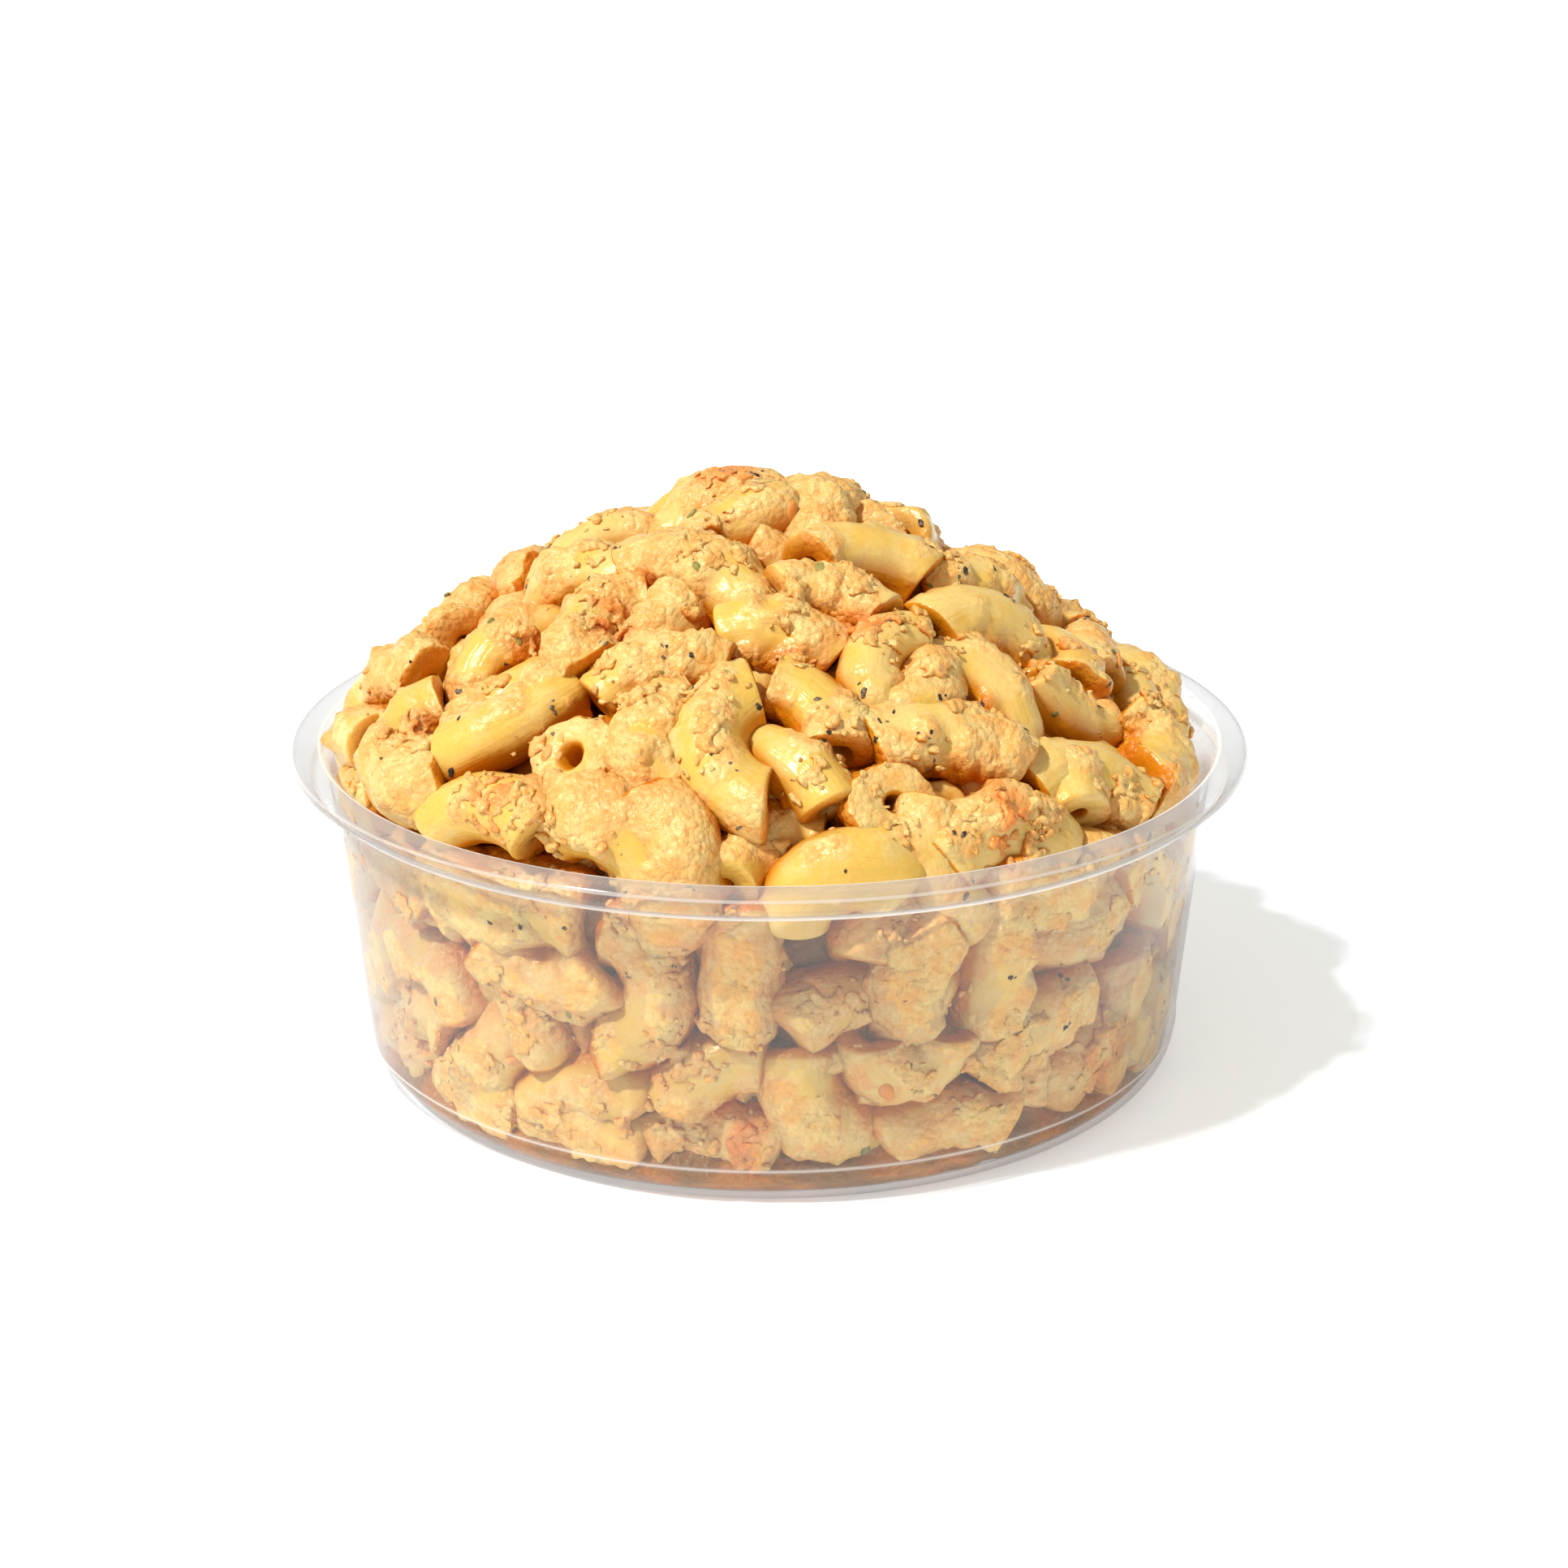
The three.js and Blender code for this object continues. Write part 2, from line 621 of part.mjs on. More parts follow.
const plastic = new THREE.MeshStandardMaterial({
  color: 0xf1efe9, roughness: 0.15, metalness: 0, transparent: true, opacity: 0.4,
});
const food = new THREE.MeshStandardMaterial({ color: 0xf0cf84, roughness: 0.45, metalness: 0 });

const tub = new THREE.Mesh(buildTub(), plastic);
tub.name = 'tub';

const heap = new THREE.Mesh(toGeometry(buildHeap()), food);
heap.name = 'macaroni_salad';

const model = new THREE.Group();
model.add(tub, heap);

export default model;
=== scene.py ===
import math

import bmesh
import bpy
import numpy as np
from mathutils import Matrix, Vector
from mathutils.bvhtree import BVHTree


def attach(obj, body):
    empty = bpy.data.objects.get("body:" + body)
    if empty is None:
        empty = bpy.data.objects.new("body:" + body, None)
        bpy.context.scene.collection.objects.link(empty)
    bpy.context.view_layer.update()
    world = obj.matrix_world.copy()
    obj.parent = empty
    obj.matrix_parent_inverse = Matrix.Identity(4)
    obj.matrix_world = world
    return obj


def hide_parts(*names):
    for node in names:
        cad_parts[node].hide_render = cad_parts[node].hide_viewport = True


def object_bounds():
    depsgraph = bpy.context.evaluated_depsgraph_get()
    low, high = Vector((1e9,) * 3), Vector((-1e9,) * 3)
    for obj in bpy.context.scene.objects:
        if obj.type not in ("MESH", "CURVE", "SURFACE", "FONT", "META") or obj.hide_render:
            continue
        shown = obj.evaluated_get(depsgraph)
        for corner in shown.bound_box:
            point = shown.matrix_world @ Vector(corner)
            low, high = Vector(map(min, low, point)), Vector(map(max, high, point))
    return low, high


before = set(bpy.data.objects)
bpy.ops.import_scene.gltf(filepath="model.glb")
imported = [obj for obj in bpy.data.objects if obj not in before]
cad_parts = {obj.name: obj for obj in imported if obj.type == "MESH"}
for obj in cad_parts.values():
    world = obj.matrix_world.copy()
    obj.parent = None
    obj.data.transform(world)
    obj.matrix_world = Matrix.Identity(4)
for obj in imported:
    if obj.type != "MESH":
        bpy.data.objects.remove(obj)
cad_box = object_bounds()

# A round clear deli tub heaped with macaroni salad. Sizes are in millimetres, like the part's
# source, and become metres where a mesh is made. A bearing is an angle about the tub's axis in
# degrees: 0 is the front, 90 is the right.
MM = 0.001

# ---------------------------------------------------------------------------------------------
# The heap: the same packing as the part's own source, in millimetres
# ---------------------------------------------------------------------------------------------

# the tub
RIM_RADIUS = 58.5
RIM_TOP = 40.5
MOUTH_RADIUS = 54.9
FLANGE_DROP = 3.8
WALL_TOP_RADIUS = 54.0
WALL_FOOT_RADIUS = 51.2
WALL_FOOT_Z = 5
CORNER_RADIUS = 4.2
FOOT_WIDTH = 2
FLOOR_RAISE = 0.8
SHEET = 0.8

# the outline of the heap
APEX_Z = 72
EDGE_Z = 42
EDGE_TILT = 2
HEAP_RADIUS = 55
HEAP_POWER = 1.5
SPILL_RADIUS = 56
CLEARANCE = 0.35
FOOD_FLOOR = FLOOR_RAISE + SHEET + CLEARANCE

# one elbow of macaroni: centreline length and outside radius
SHORT, LONG = 12, 19
THIN, THICK = 3.75, 4.6

# packing
SQUASH = 0.5
ROUNDS = 45
GRIP = 0.15
TURN_ARM = 70
SEED = 7
LOOSE_PIECES = (("top", 50), ("side", 44), ("floor", 8))
STATIONS = (-1, -0.5, 0, 0.5, 1)
BEADS = (-1, -2 / 3, -1 / 3, 0, 1 / 3, 2 / 3, 1)

# Pieces that stand out, as in the part's source:
# zone, bearing, place, turn, roll, tip, sweep, lift, length
PLACED = (
    ("top", -126, 9, 0, 70, 0, 110, 0.5, 15),
    ("top", 72, 5, 95, 60, 0, 100, 0, 15),
    ("top", -99, 21, 12, 60, 0, 120, 0.5, 16),
    ("top", -26, 19, -40, 50, 0, 90, 0.5, 17),
    ("top", 52, 15, 12, 20, 0, 70, 0.5, 15),
    ("top", 26, 20, 8, 0, 0, 60, -1, 13),
    ("top", 67, 29, 20, 45, 0, 100, 0.5, 17),
    ("top", 102, 32, 10, 80, 0, 140, 1, 16),
    ("top", 94, 41, 100, 30, 0, 60, 0, 14),
    ("top", 102, 50, -30, 45, 0, 110, 0.5, 16),
    ("top", 67, 42, 195, -30, 10, 80, 0.5, 15),
    ("top", 70, 51, -75, 0, 0, 130, 0.5, 17),
    ("top", 52, 50, 20, 30, 0, 80, 0, 17),
    ("top", 34, 49, 25, 50, 0, 90, 0, 17),
    ("top", 28, 40, 8, 40, 0, 70, 1, 17),
    ("top", 43, 36, -35, 50, 0, 130, 0.3, 17),
    ("top", 14, 46, -80, -90, 25, 65, 2.5, 17),
    ("top", 23, 45, -50, -60, 20, 80, -2, 13),
    ("top", -25, 42, -115, -90, 28, 70, 2, 16),
    ("top", -46, 43, 205, 30, 5, 70, 0.8, 15),
    ("top", -59, 51, 90, 10, 0, 150, 0.5, 18),
    ("top", -36, 50, -20, 40, 0, 70, 0, 16),
    ("top", -20, 51, -50, 60, 0, 90, 0, 17),
    ("top", -8, 44, 97, 10, 0, 140, 1.2, 19),
    ("top", -7, 51, 10, 0, 0, 70, -1, 14),
    ("top", 6, 44, -50, 60, 0, 50, -0.5, 12),
    ("top", 10, 40, -70, 0, 0, 60, -1, 12),
    ("top", 7, 52, 8, 60, 0, 140, -0.5, 16),
    ("top", -21, 32, 10, 30, 0, 60, 0, 15),
    ("top", -47, 28, 60, 30, 0, 120, 0.3, 16),
    ("top", -68, 35, 30, 60, 0, 140, 0, 16),
    ("top", -94, 41, 90, 0, 0, 70, 0, 14),
    ("top", -100, 54, -120, 0, 5, 90, 0, 15),
    ("top", 3, 25, -20, 50, 0, 70, 0, 13),
    ("side", -35, 33, 3, 0, 0, 45, 0, 19),
    ("side", -29, 25, 180, 0, 0, 80, 0, 16),
    ("side", -16, 24, -90, 0, 0, 150, 0, 19),
    ("side", -3, 30, 90, 60, 0, 30, 0, 14),
    ("side", -9, 15, 40, 0, 0, 60, -1, 12),
    ("side", -8, 6, 0, -60, 0, 60, 0, 17),
    ("side", -26, 12, 10, 0, 0, 80, 0, 14),
    ("side", -52, 22, -20, 0, 0, 90, 0, 15),
    ("side", 14, 23, 3, -30, 0, 50, 0, 19),
    ("side", 30, 28, 82, 60, 0, 25, 0, 15),
    ("side", 38, 17, 22, 0, 0, 50, 0, 16),
    ("side", 57, 11, 78, 180, 0, 50, 0, 16),
    ("side", 6, 15, 30, 0, 60, 60, 0, 12),
    ("side", 18, 13, 180, 0, 0, 170, 0, 14),
    ("side", 24, 5, 10, 0, 0, 60, 0, 15),
    ("side", 44, 8, 60, 0, 0, 60, -1.5, 15),
)


def make_random(seed):
    """A repeatable stream of numbers between lo and hi."""
    state = [seed]

    def draw(lo, hi):
        state[0] = (state[0] * 1664525 + 1013904223) % 4294967296
        return lo + (hi - lo) * state[0] / 4294967296

    return draw


def add(a, b, scale=1.0):
    return (a[0] + b[0] * scale, a[1] + b[1] * scale, a[2] + b[2] * scale)


def dot(a, b):
    return a[0] * b[0] + a[1] * b[1] + a[2] * b[2]


def cross(a, b):
    return (a[1] * b[2] - a[2] * b[1], a[2] * b[0] - a[0] * b[2], a[0] * b[1] - a[1] * b[0])


def unit(a):
    length = math.sqrt(dot(a, a)) or 1.0
    return (a[0] / length, a[1] / length, a[2] / length)


def wall_outside(z):
    share = (z - WALL_FOOT_Z) / (RIM_TOP - FLANGE_DROP - WALL_FOOT_Z)
    return WALL_FOOT_RADIUS + (WALL_TOP_RADIUS - WALL_FOOT_RADIUS) * share


def food_radius(z):
    return wall_outside(min(z, RIM_TOP)) - SHEET - CLEARANCE


def heap_top(x, y):
    r = math.hypot(x, y)
    edge = EDGE_Z - EDGE_TILT * (x / max(r, 1e-6))
    return edge + (APEX_Z - edge) * (1 - (r / HEAP_RADIUS) ** HEAP_POWER)


def top_normal(x, y):
    step = 0.05
    slope_x = (heap_top(x + step, y) - heap_top(x - step, y)) / (2 * step)
    slope_y = (heap_top(x, y + step) - heap_top(x, y - step)) / (2 * step)
    return unit((-slope_x, -slope_y, 1))


def footing(zone, bearing, place, turn):
    """The outline's point, its way out of the heap, and the way a piece's middle runs."""
    s, c = math.sin(math.radians(bearing)), math.cos(math.radians(bearing))
    ct, st = math.cos(math.radians(turn)), math.sin(math.radians(turn))
    along = (ct, st, 0)
    if zone == "top":
        point = (place * s, -place * c, heap_top(place * s, -place * c))
        out = top_normal(point[0], point[1])
    elif zone == "side":
        point = (food_radius(place) * s, -food_radius(place) * c, place)
        out = (s, -c, 0)
        along = (ct * c, ct * s, st)
    else:
        point = (place * s, -place * c, FOOD_FLOOR)
        out = (0, 0, -1)
    along = unit(add(along, out, -dot(along, out)))
    return point, out, along


class Elbow:
    """One piece of macaroni on a circular centreline."""

    def __init__(self, row, grip):
        zone, bearing, place, turn, roll, tip, sweep, lift, length = row
        point, out, along = footing(zone, bearing, place, turn)
        left = cross(out, along)
        ct, st = math.cos(math.radians(tip)), math.sin(math.radians(tip))
        cr, sr = math.cos(math.radians(roll)), math.sin(math.radians(roll))
        above = add((out[0] * ct, out[1] * ct, out[2] * ct), along, -st)
        self.ahead = add((along[0] * ct, along[1] * ct, along[2] * ct), out, st)
        self.back = add((left[0] * cr, left[1] * cr, left[2] * cr), above, sr)
        self.zone, self.out, self.lift, self.length, self.grip = zone, out, lift, length, grip
        self.radius = THIN + (THICK - THIN) * (length - SHORT) / (LONG - SHORT)
        self.sweep = math.radians(sweep)
        self.bend = length / self.sweep
        self.middle = add(point, out, -self.radius)
        for _ in range(6):
            self.seat()
        self.beads = self.make_beads()

    def centreline(self, k):
        angle = k * self.sweep / 2
        p = add(self.middle, self.back, self.bend * (math.cos(angle) - 1))
        return add(p, self.ahead, self.bend * math.sin(angle))

    def make_beads(self):
        reach = 1 - 1.5 * self.radius / self.length
        return [self.centreline(k * reach) for k in BEADS]

    def proud(self, zone, p):
        """How far a point stands above the outline that a zone gives."""
        if zone == "top":
            return (p[2] - heap_top(p[0], p[1])) * top_normal(p[0], p[1])[2]
        if zone == "side":
            return math.hypot(p[0], p[1]) - food_radius(p[2])
        return FOOD_FLOOR - p[2]

    def limit(self, p):
        high = p[2] > RIM_TOP + self.radius
        return (SPILL_RADIUS if high else food_radius(p[2])) - self.radius

    def seat(self):
        points = [self.centreline(k) for k in STATIONS]
        most = max(self.proud(self.zone, p) for p in points)
        self.middle = add(self.middle, self.out, self.lift - self.radius - most)
        for p in points:
            r = math.hypot(p[0], p[1])
            limit = self.limit(p)
            if self.zone != "side" and r > limit:
                self.middle = add(self.middle, (p[0] / r, p[1] / r, 0), 0.7 * (limit - r))

    def spin(self, turn):
        self.ahead = unit(add(self.ahead, cross(turn, self.ahead)))
        back = add(self.back, cross(turn, self.back))
        self.back = unit(add(back, self.ahead, -dot(back, self.ahead)))

    def push(self, point, direction, amount):
        arm = add(point, self.middle, -1)
        self.middle = add(self.middle, direction, amount)
        turn = cross(arm, direction)
        scale = amount / TURN_ARM
        self.spin((turn[0] * scale, turn[1] * scale, turn[2] * scale))

    def hold(self):
        """Keeps the piece under the outline and inside the tub, and up against its own outline."""
        for k in STATIONS:
            p = self.centreline(k)
            over = self.proud("top", p) + self.radius - max(self.lift, 0)
            if over > 0:
                self.push(p, top_normal(p[0], p[1]), -0.5 * over)
                p = self.centreline(k)
            r = math.hypot(p[0], p[1])
            limit = self.limit(p)
            if r > limit:
                self.push(p, (p[0] / r, p[1] / r, 0), 0.5 * (limit - r))
                p = self.centreline(k)
            sunk = FOOD_FLOOR + self.radius - p[2]
            if sunk > 0:
                self.push(p, (0, 0, 1), 0.5 * sunk)
        most = max(self.proud(self.zone, self.centreline(k)) for k in STATIONS)
        slack = self.lift - self.radius - most
        if slack > 0:
            self.middle = add(self.middle, self.out, min(0.3 * slack, 0.5))


def contacts(beads, radii, pairs):
    """For each pair of pieces: how deep the deepest contact is, and its bead on each."""
    a, b = pairs
    gaps = np.linalg.norm(beads[a][:, :, None, :] - beads[b][:, None, :, :], axis=3)
    depth = (radii[a] + radii[b])[:, None] - gaps.reshape(len(a), -1)
    best = depth.argmax(axis=1)
    return depth[np.arange(len(a)), best], best // len(BEADS), best % len(BEADS)


def deepest_contact(elbow, beads, radii):
    if not len(beads):
        return 0.0
    gaps = np.linalg.norm(beads[:, :, None, :] - np.array(elbow.beads)[None, None], axis=3)
    return float(((radii + elbow.radius)[:, None, None] - gaps).max())


def settle(elbows, held=0, rounds=ROUNDS):
    """Pushes overlapping pieces apart, all pairs at once, a little in each round."""
    radii = np.array([e.radius for e in elbows])
    for _ in range(rounds):
        beads = np.array([e.beads for e in elbows])
        middles = np.array([e.middle for e in elbows])
        apart = np.linalg.norm(middles[:, None] - middles[None], axis=2)
        pairs = np.nonzero(np.tril(apart < 2 * LONG, -1))
        depth, on_a, on_b = contacts(beads, radii, pairs)
        pushes = [[] for _ in elbows]
        for n in np.nonzero(depth > SQUASH)[0]:
            i, j = int(pairs[0][n]), int(pairs[1][n])
            a, b = elbows[i], elbows[j]
            p, q = a.beads[on_a[n]], b.beads[on_b[n]]
            gap = add(p, q, -1)
            length = max(math.sqrt(dot(gap, gap)), 1e-6)
            way = (gap[0] / length, gap[1] / length, gap[2] / length)
            share = 0.5 * (float(depth[n]) - SQUASH) / (a.grip + b.grip)
            pushes[i].append((p, way, share * a.grip))
            pushes[j].append((q, way, -share * b.grip))
        for elbow, given in list(zip(elbows, pushes))[held:]:
            for point, way, amount in given:
                elbow.push(point, way, min(max(amount, -0.8), 0.8))
            elbow.hold()
            elbow.beads = elbow.make_beads()


def throw(random, zone, count, drop, tolerance, elbows):
    """Adds loose pieces of a zone where they don't lie too deep in the others."""
    made = 0
    tries = 0
    while made < count and tries < 30 * count:
        tries += 1
        bearing = random(-180, 180)
        share = random(0, 1)
        place = 6 + 31 * share if zone == "side" else (54 if zone == "top" else 46) * math.sqrt(share)
        turn = random(0, 360)
        roll = random(-40, 80)
        tip = random(-8, 14)
        sweep = random(60, 150)
        lift = random(-2.2, 0.8) - drop
        length = random(SHORT + 1, LONG - 1)
        elbow = Elbow((zone, bearing, place, turn, roll, tip, sweep, lift, length), 1)
        near = [e for e in elbows if math.dist(e.middle, elbow.middle) < 2 * LONG]
        beads = np.array([e.beads for e in near])
        if deepest_contact(elbow, beads, np.array([e.radius for e in near])) < tolerance:
            elbows.append(elbow)
            made += 1


def pack_heap():
    random = make_random(SEED)
    elbows = [Elbow(row, 4 * GRIP if row[7] < 0 else GRIP) for row in PLACED]
    for zone, count in LOOSE_PIECES:
        throw(random, zone, count, 0, 4, elbows)
    settle(elbows)
    return elbows

# ---------------------------------------------------------------------------------------------
# Noise: repeatable, and the same for every piece at the same place
# ---------------------------------------------------------------------------------------------


CELL_KEYS = np.array([7919, 104729, 1299709])
SALT_KEY = 15485863
DRAWS = np.random.default_rng(11).random(65536)


def drawn(keys):
    return DRAWS[keys & 65535]


def soft_noise(points, size, salt):
    """Smooth noise from 0 to 1, with lumps about one size across."""
    p = points / size
    base = np.floor(p)
    f = p - base
    f = f * f * (3 - 2 * f)
    keys = base.astype(np.int64) @ CELL_KEYS + salt * SALT_KEY
    total = np.zeros(len(points))
    for corner in np.ndindex(2, 2, 2):
        x, y, z = (f[:, axis] if corner[axis] else 1 - f[:, axis] for axis in range(3))
        total += x * y * z * drawn(keys + int(CELL_KEYS @ corner))
    return total


def cloud_noise(points, size, salt, octaves=3):
    total, share, sum_of_shares = 0.0, 1.0, 0.0
    for octave in range(octaves):
        total = total + share * soft_noise(points, size / 2**octave, salt + octave)
        sum_of_shares += share
        share *= 0.5
    return total / sum_of_shares


def lump_noise(points, size, salt):
    """Round lumps about one size apart: 1 at a lump's middle, falling to 0 between lumps."""
    p = points / size
    base = np.floor(p)
    keys = base.astype(np.int64) @ CELL_KEYS + salt * SALT_KEY
    nearest = np.full(len(points), 9.0)
    for corner in np.ndindex(3, 3, 3):
        step = np.array(corner) - 1
        cell = keys + int(CELL_KEYS @ step)
        offset = base - p + step
        distance = sum((offset[:, axis] + drawn(cell + axis * 977)) ** 2 for axis in range(3))
        nearest = np.minimum(nearest, distance)
    return np.clip(1 - nearest, 0, 1)


def smooth_step(values, low, high):
    t = np.clip((values - low) / (high - low), 0, 1)
    return t * t * (3 - 2 * t)


# ---------------------------------------------------------------------------------------------
# Where things lie in the heap
# ---------------------------------------------------------------------------------------------

WALL_PRESS = 0.12                 # food that leans on the plastic reaches this far into it
TOP_LIMIT = cad_box[1].z / MM - 0.05


def wall_reach(z):
    """Radius at which food meets the inside of the tub, for an array of heights."""
    share = (np.minimum(z, RIM_TOP) - WALL_FOOT_Z) / (RIM_TOP - FLANGE_DROP - WALL_FOOT_Z)
    wall = WALL_FOOT_RADIUS + (WALL_TOP_RADIUS - WALL_FOOT_RADIUS) * share - SHEET
    corner = CORNER_RADIUS - SHEET
    drop = np.clip(CORNER_RADIUS - z, 0, corner)
    wall = np.where(drop > 0, wall - corner + np.sqrt(corner**2 - drop**2), wall)
    return wall + WALL_PRESS


def heap_top_array(x, y):
    r = np.hypot(x, y)
    edge = EDGE_Z - EDGE_TILT * x / np.maximum(r, 1e-6)
    return edge + (APEX_Z - edge) * (1 - np.minimum(r / HEAP_RADIUS, 1.2) ** HEAP_POWER)


def keep_inside(points):
    """Flattens what would pass through the tub's wall or floor, and caps the top."""
    x, y, z = points.T
    r = np.hypot(x, y)
    raised = r < WALL_FOOT_RADIUS - CORNER_RADIUS - FOOT_WIDTH - FLOOR_RAISE / 2
    z = np.clip(z, np.where(raised, FLOOR_RAISE, 0) + SHEET - WALL_PRESS, TOP_LIMIT)
    over_rim = smooth_step(z, RIM_TOP + 0.5, RIM_TOP + 2.5) * (SPILL_RADIUS + 1 - WALL_TOP_RADIUS)
    limit = wall_reach(z) + np.maximum(over_rim, 0)
    scale = np.minimum(limit / np.maximum(r, 1e-6), 1)
    return np.stack([x * scale, y * scale, z], axis=1)


def sunk_depth(points):
    """How far below the heap's outline a point lies, in millimetres, through the top or side."""
    x, y, z = points.T
    below_top = (heap_top_array(x, y) - z) * 0.85
    from_wall = wall_reach(z) - np.hypot(x, y)
    under_rim = smooth_step(z, RIM_TOP - 1, RIM_TOP - 6)
    return np.where(under_rim > 0.5, np.minimum(from_wall, below_top + 3), below_top)


def carrot_share(points):
    """How orange the dressing is, from 0 to 1."""
    share = smooth_step(soft_noise(points, 8, 71), 0.68, 0.92) * 0.35
    grain = smooth_step(cloud_noise(points, 3, 72, 2), 0.3, 0.62)
    for centre, size in CARROT_CENTRES:
        distance = np.linalg.norm(points - centre, axis=1) / size
        near = smooth_step(distance, 1.3, 0.3)
        share = np.maximum(share, near * grain)
    return share


# ---------------------------------------------------------------------------------------------
# Meshes
# ---------------------------------------------------------------------------------------------


class Soup:
    """Points, faces and per-point values that grow into one mesh."""

    def __init__(self):
        self.points, self.faces, self.values = [], [], {}
        self.count = 0

    def add(self, points, faces, **values):
        self.points.append(points)
        self.faces.append(faces + self.count)
        for key, value in values.items():
            self.values.setdefault(key, []).append(np.broadcast_to(value, len(points)) if
                                                   np.ndim(value) < 2 else value)
        self.count += len(points)

    def joined(self):
        values = {key: np.concatenate(parts) for key, parts in self.values.items()}
        return np.concatenate(self.points), np.concatenate(self.faces), values


def make_piece(name, points, faces, values, material, node):
    mesh = bpy.data.meshes.new(name)
    mesh.from_pydata((points * MM).tolist(), [], faces.tolist())
    for key, value in values.items():
        vector = value.ndim == 2
        layer = mesh.attributes.new(key, "FLOAT_VECTOR" if vector else "FLOAT", "POINT")
        layer.data.foreach_set("vector" if vector else "value", value.astype(np.float32).ravel())
    mesh.polygons.foreach_set("use_smooth", [True] * len(mesh.polygons))
    mesh.materials.append(material)
    mesh.update()
    piece = bpy.data.objects.new(name, mesh)
    bpy.context.scene.collection.objects.link(piece)
    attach(piece, "root")
    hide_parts(node)
    return piece


def grid_faces(rows, columns):
    """Quads of a grid of points that wraps round both ways."""
    i, j = np.meshgrid(np.arange(rows), np.arange(columns), indexing="ij")
    up, across = (i + 1) % rows, (j + 1) % columns
    quads = [i * columns + j, i * columns + across, up * columns + across, up * columns + j]
    return np.stack(quads, axis=-1).reshape(-1, 4)


# ---------------------------------------------------------------------------------------------
# Elbows of macaroni with the dressing that sticks to them
# ---------------------------------------------------------------------------------------------

BORE_SHARE = 0.29                 # bore radius over outside radius
LIP, WORN_LIP = 0.5, 1.3          # rounding of the cut ends, on top and at the wall
COAT_BASE = 0.12                  # thickness of the dressing on a coated spot
COAT_LUMPS = 0.34                  # height of its lumps
COAT_GRAINS = 0.34
CRUST = 1.4                       # how much more the lumps rise where the dressing is crumbly
LUMP_SIZE, GRAIN_SIZE = 1.9, 0.85
SLIM = 0.15                       # bare pasta is this much slimmer than the solids, the coat fills it


def elbow_profile(elbow, steps, radius, bore):
    """Rings round the wall of the tube, outside and back through the bore: k, radius, coat."""
    per_mm = 2 / elbow.length
    lip = LIP if elbow.zone == "top" else WORN_LIP
    outer = [(k, radius, 1.0) for k in np.linspace(-1, 1, steps)]
    far = [(1 + lip * 0.4 * per_mm, radius - lip * 0.3, 1.0), (1 + lip * 0.7 * per_mm, radius - lip, 1.0),
           (1 + lip * 0.7 * per_mm, bore + 0.3, 0.3)]
    inner = [(k, bore, 0.0) for k in np.linspace(1 - 0.3 * per_mm, -1 + 0.3 * per_mm, 4)]
    near = [(-k, r, c) for k, r, c in reversed(far)]
    return np.array(outer + far + inner + near)


def elbow_shell(elbow, number, steps, sides, coat_share):
    random = make_random(977 + 131 * number)
    radius = (elbow.radius - SLIM) * random(0.97, 1.03)
    bore = elbow.radius * BORE_SHARE * random(0.85, 1.2)
    oval, oval_at = random(0, 0.07), random(0, math.pi)
    slant, slant_at = random(0, 0.07), random(0, 2 * math.pi)
    coated = coat_share + random(-0.12, 0.12)
    tone = random(-1, 1)
    rings = elbow_profile(elbow, steps, radius, bore)
    across = np.array(cross(elbow.ahead, elbow.back))
    ahead, back = np.array(elbow.ahead), np.array(elbow.back)
    k, r, coat = (rings[:, None, i] for i in range(3))
    around = 2 * math.pi * np.arange(sides)[None, :] / sides
    k = k + np.sign(k) * np.abs(k) ** 6 * slant * np.cos(around - slant_at)
    angle = k * elbow.sweep / 2
    r = r * (1 + oval * np.cos(2 * (around - oval_at))) + 0 * angle
    outward = np.cos(angle)[..., None] * back + np.sin(angle)[..., None] * ahead
    centre = np.array(elbow.middle) + elbow.bend * (
        (np.cos(angle) - 1)[..., None] * back + np.sin(angle)[..., None] * ahead)
    spoke = np.cos(around)[..., None] * outward + np.sin(around)[..., None] * across
    points = (centre + r[..., None] * spoke).reshape(-1, 3)
    along = np.cos(angle)[..., None] * ahead - np.sin(angle)[..., None] * back
    cut = np.where(np.abs(rings[:, 0]) > 1, np.sign(rings[:, 0]), 0)[:, None, None]
    inside = np.where((r <= bore * 1.2) & (cut[..., 0] == 0), -1, 1)[..., None]
    normals = (np.where(cut == 0, spoke * inside, along * cut)).reshape(-1, 3)
    spoke = spoke.reshape(-1, 3)
    coat = (coat + 0 * r).reshape(-1)
    uneven = 0.8 if elbow.zone == "top" else 1.7
    dents = (cloud_noise(points, 6, 11) - 0.5) * uneven + (cloud_noise(points, 1.8, 14) - 0.5) * 0.3
    mask = smooth_step(cloud_noise(points, 5, 21, 4) + coated - 0.5, 0.38, 0.56) * coat
    crust = 1 + CRUST * smooth_step(cloud_noise(points, 6, 26) + 0.6 * (coated - coat_share), 0.46, 0.6)
    lumps = lump_noise(points, LUMP_SIZE, 31) ** 1.3 * 2 * cloud_noise(points, 3.5, 33, 2)
    grains = lump_noise(points, GRAIN_SIZE, 41) * 2 * cloud_noise(points, 2.5, 43, 2)
    thick = mask * (COAT_BASE + crust * (COAT_LUMPS * lumps + COAT_GRAINS * grains))
    points = points + spoke * (thick + dents * (coat > 0))[:, None]
    grain = np.stack([(r * np.cos(around)).ravel(), (r * np.sin(around)).ravel(),
                      (k * elbow.length * 0.04).ravel() + 17.3 * number], axis=1)
    return points, normals, grid_faces(len(rings), sides), mask, tone, grain, lumps


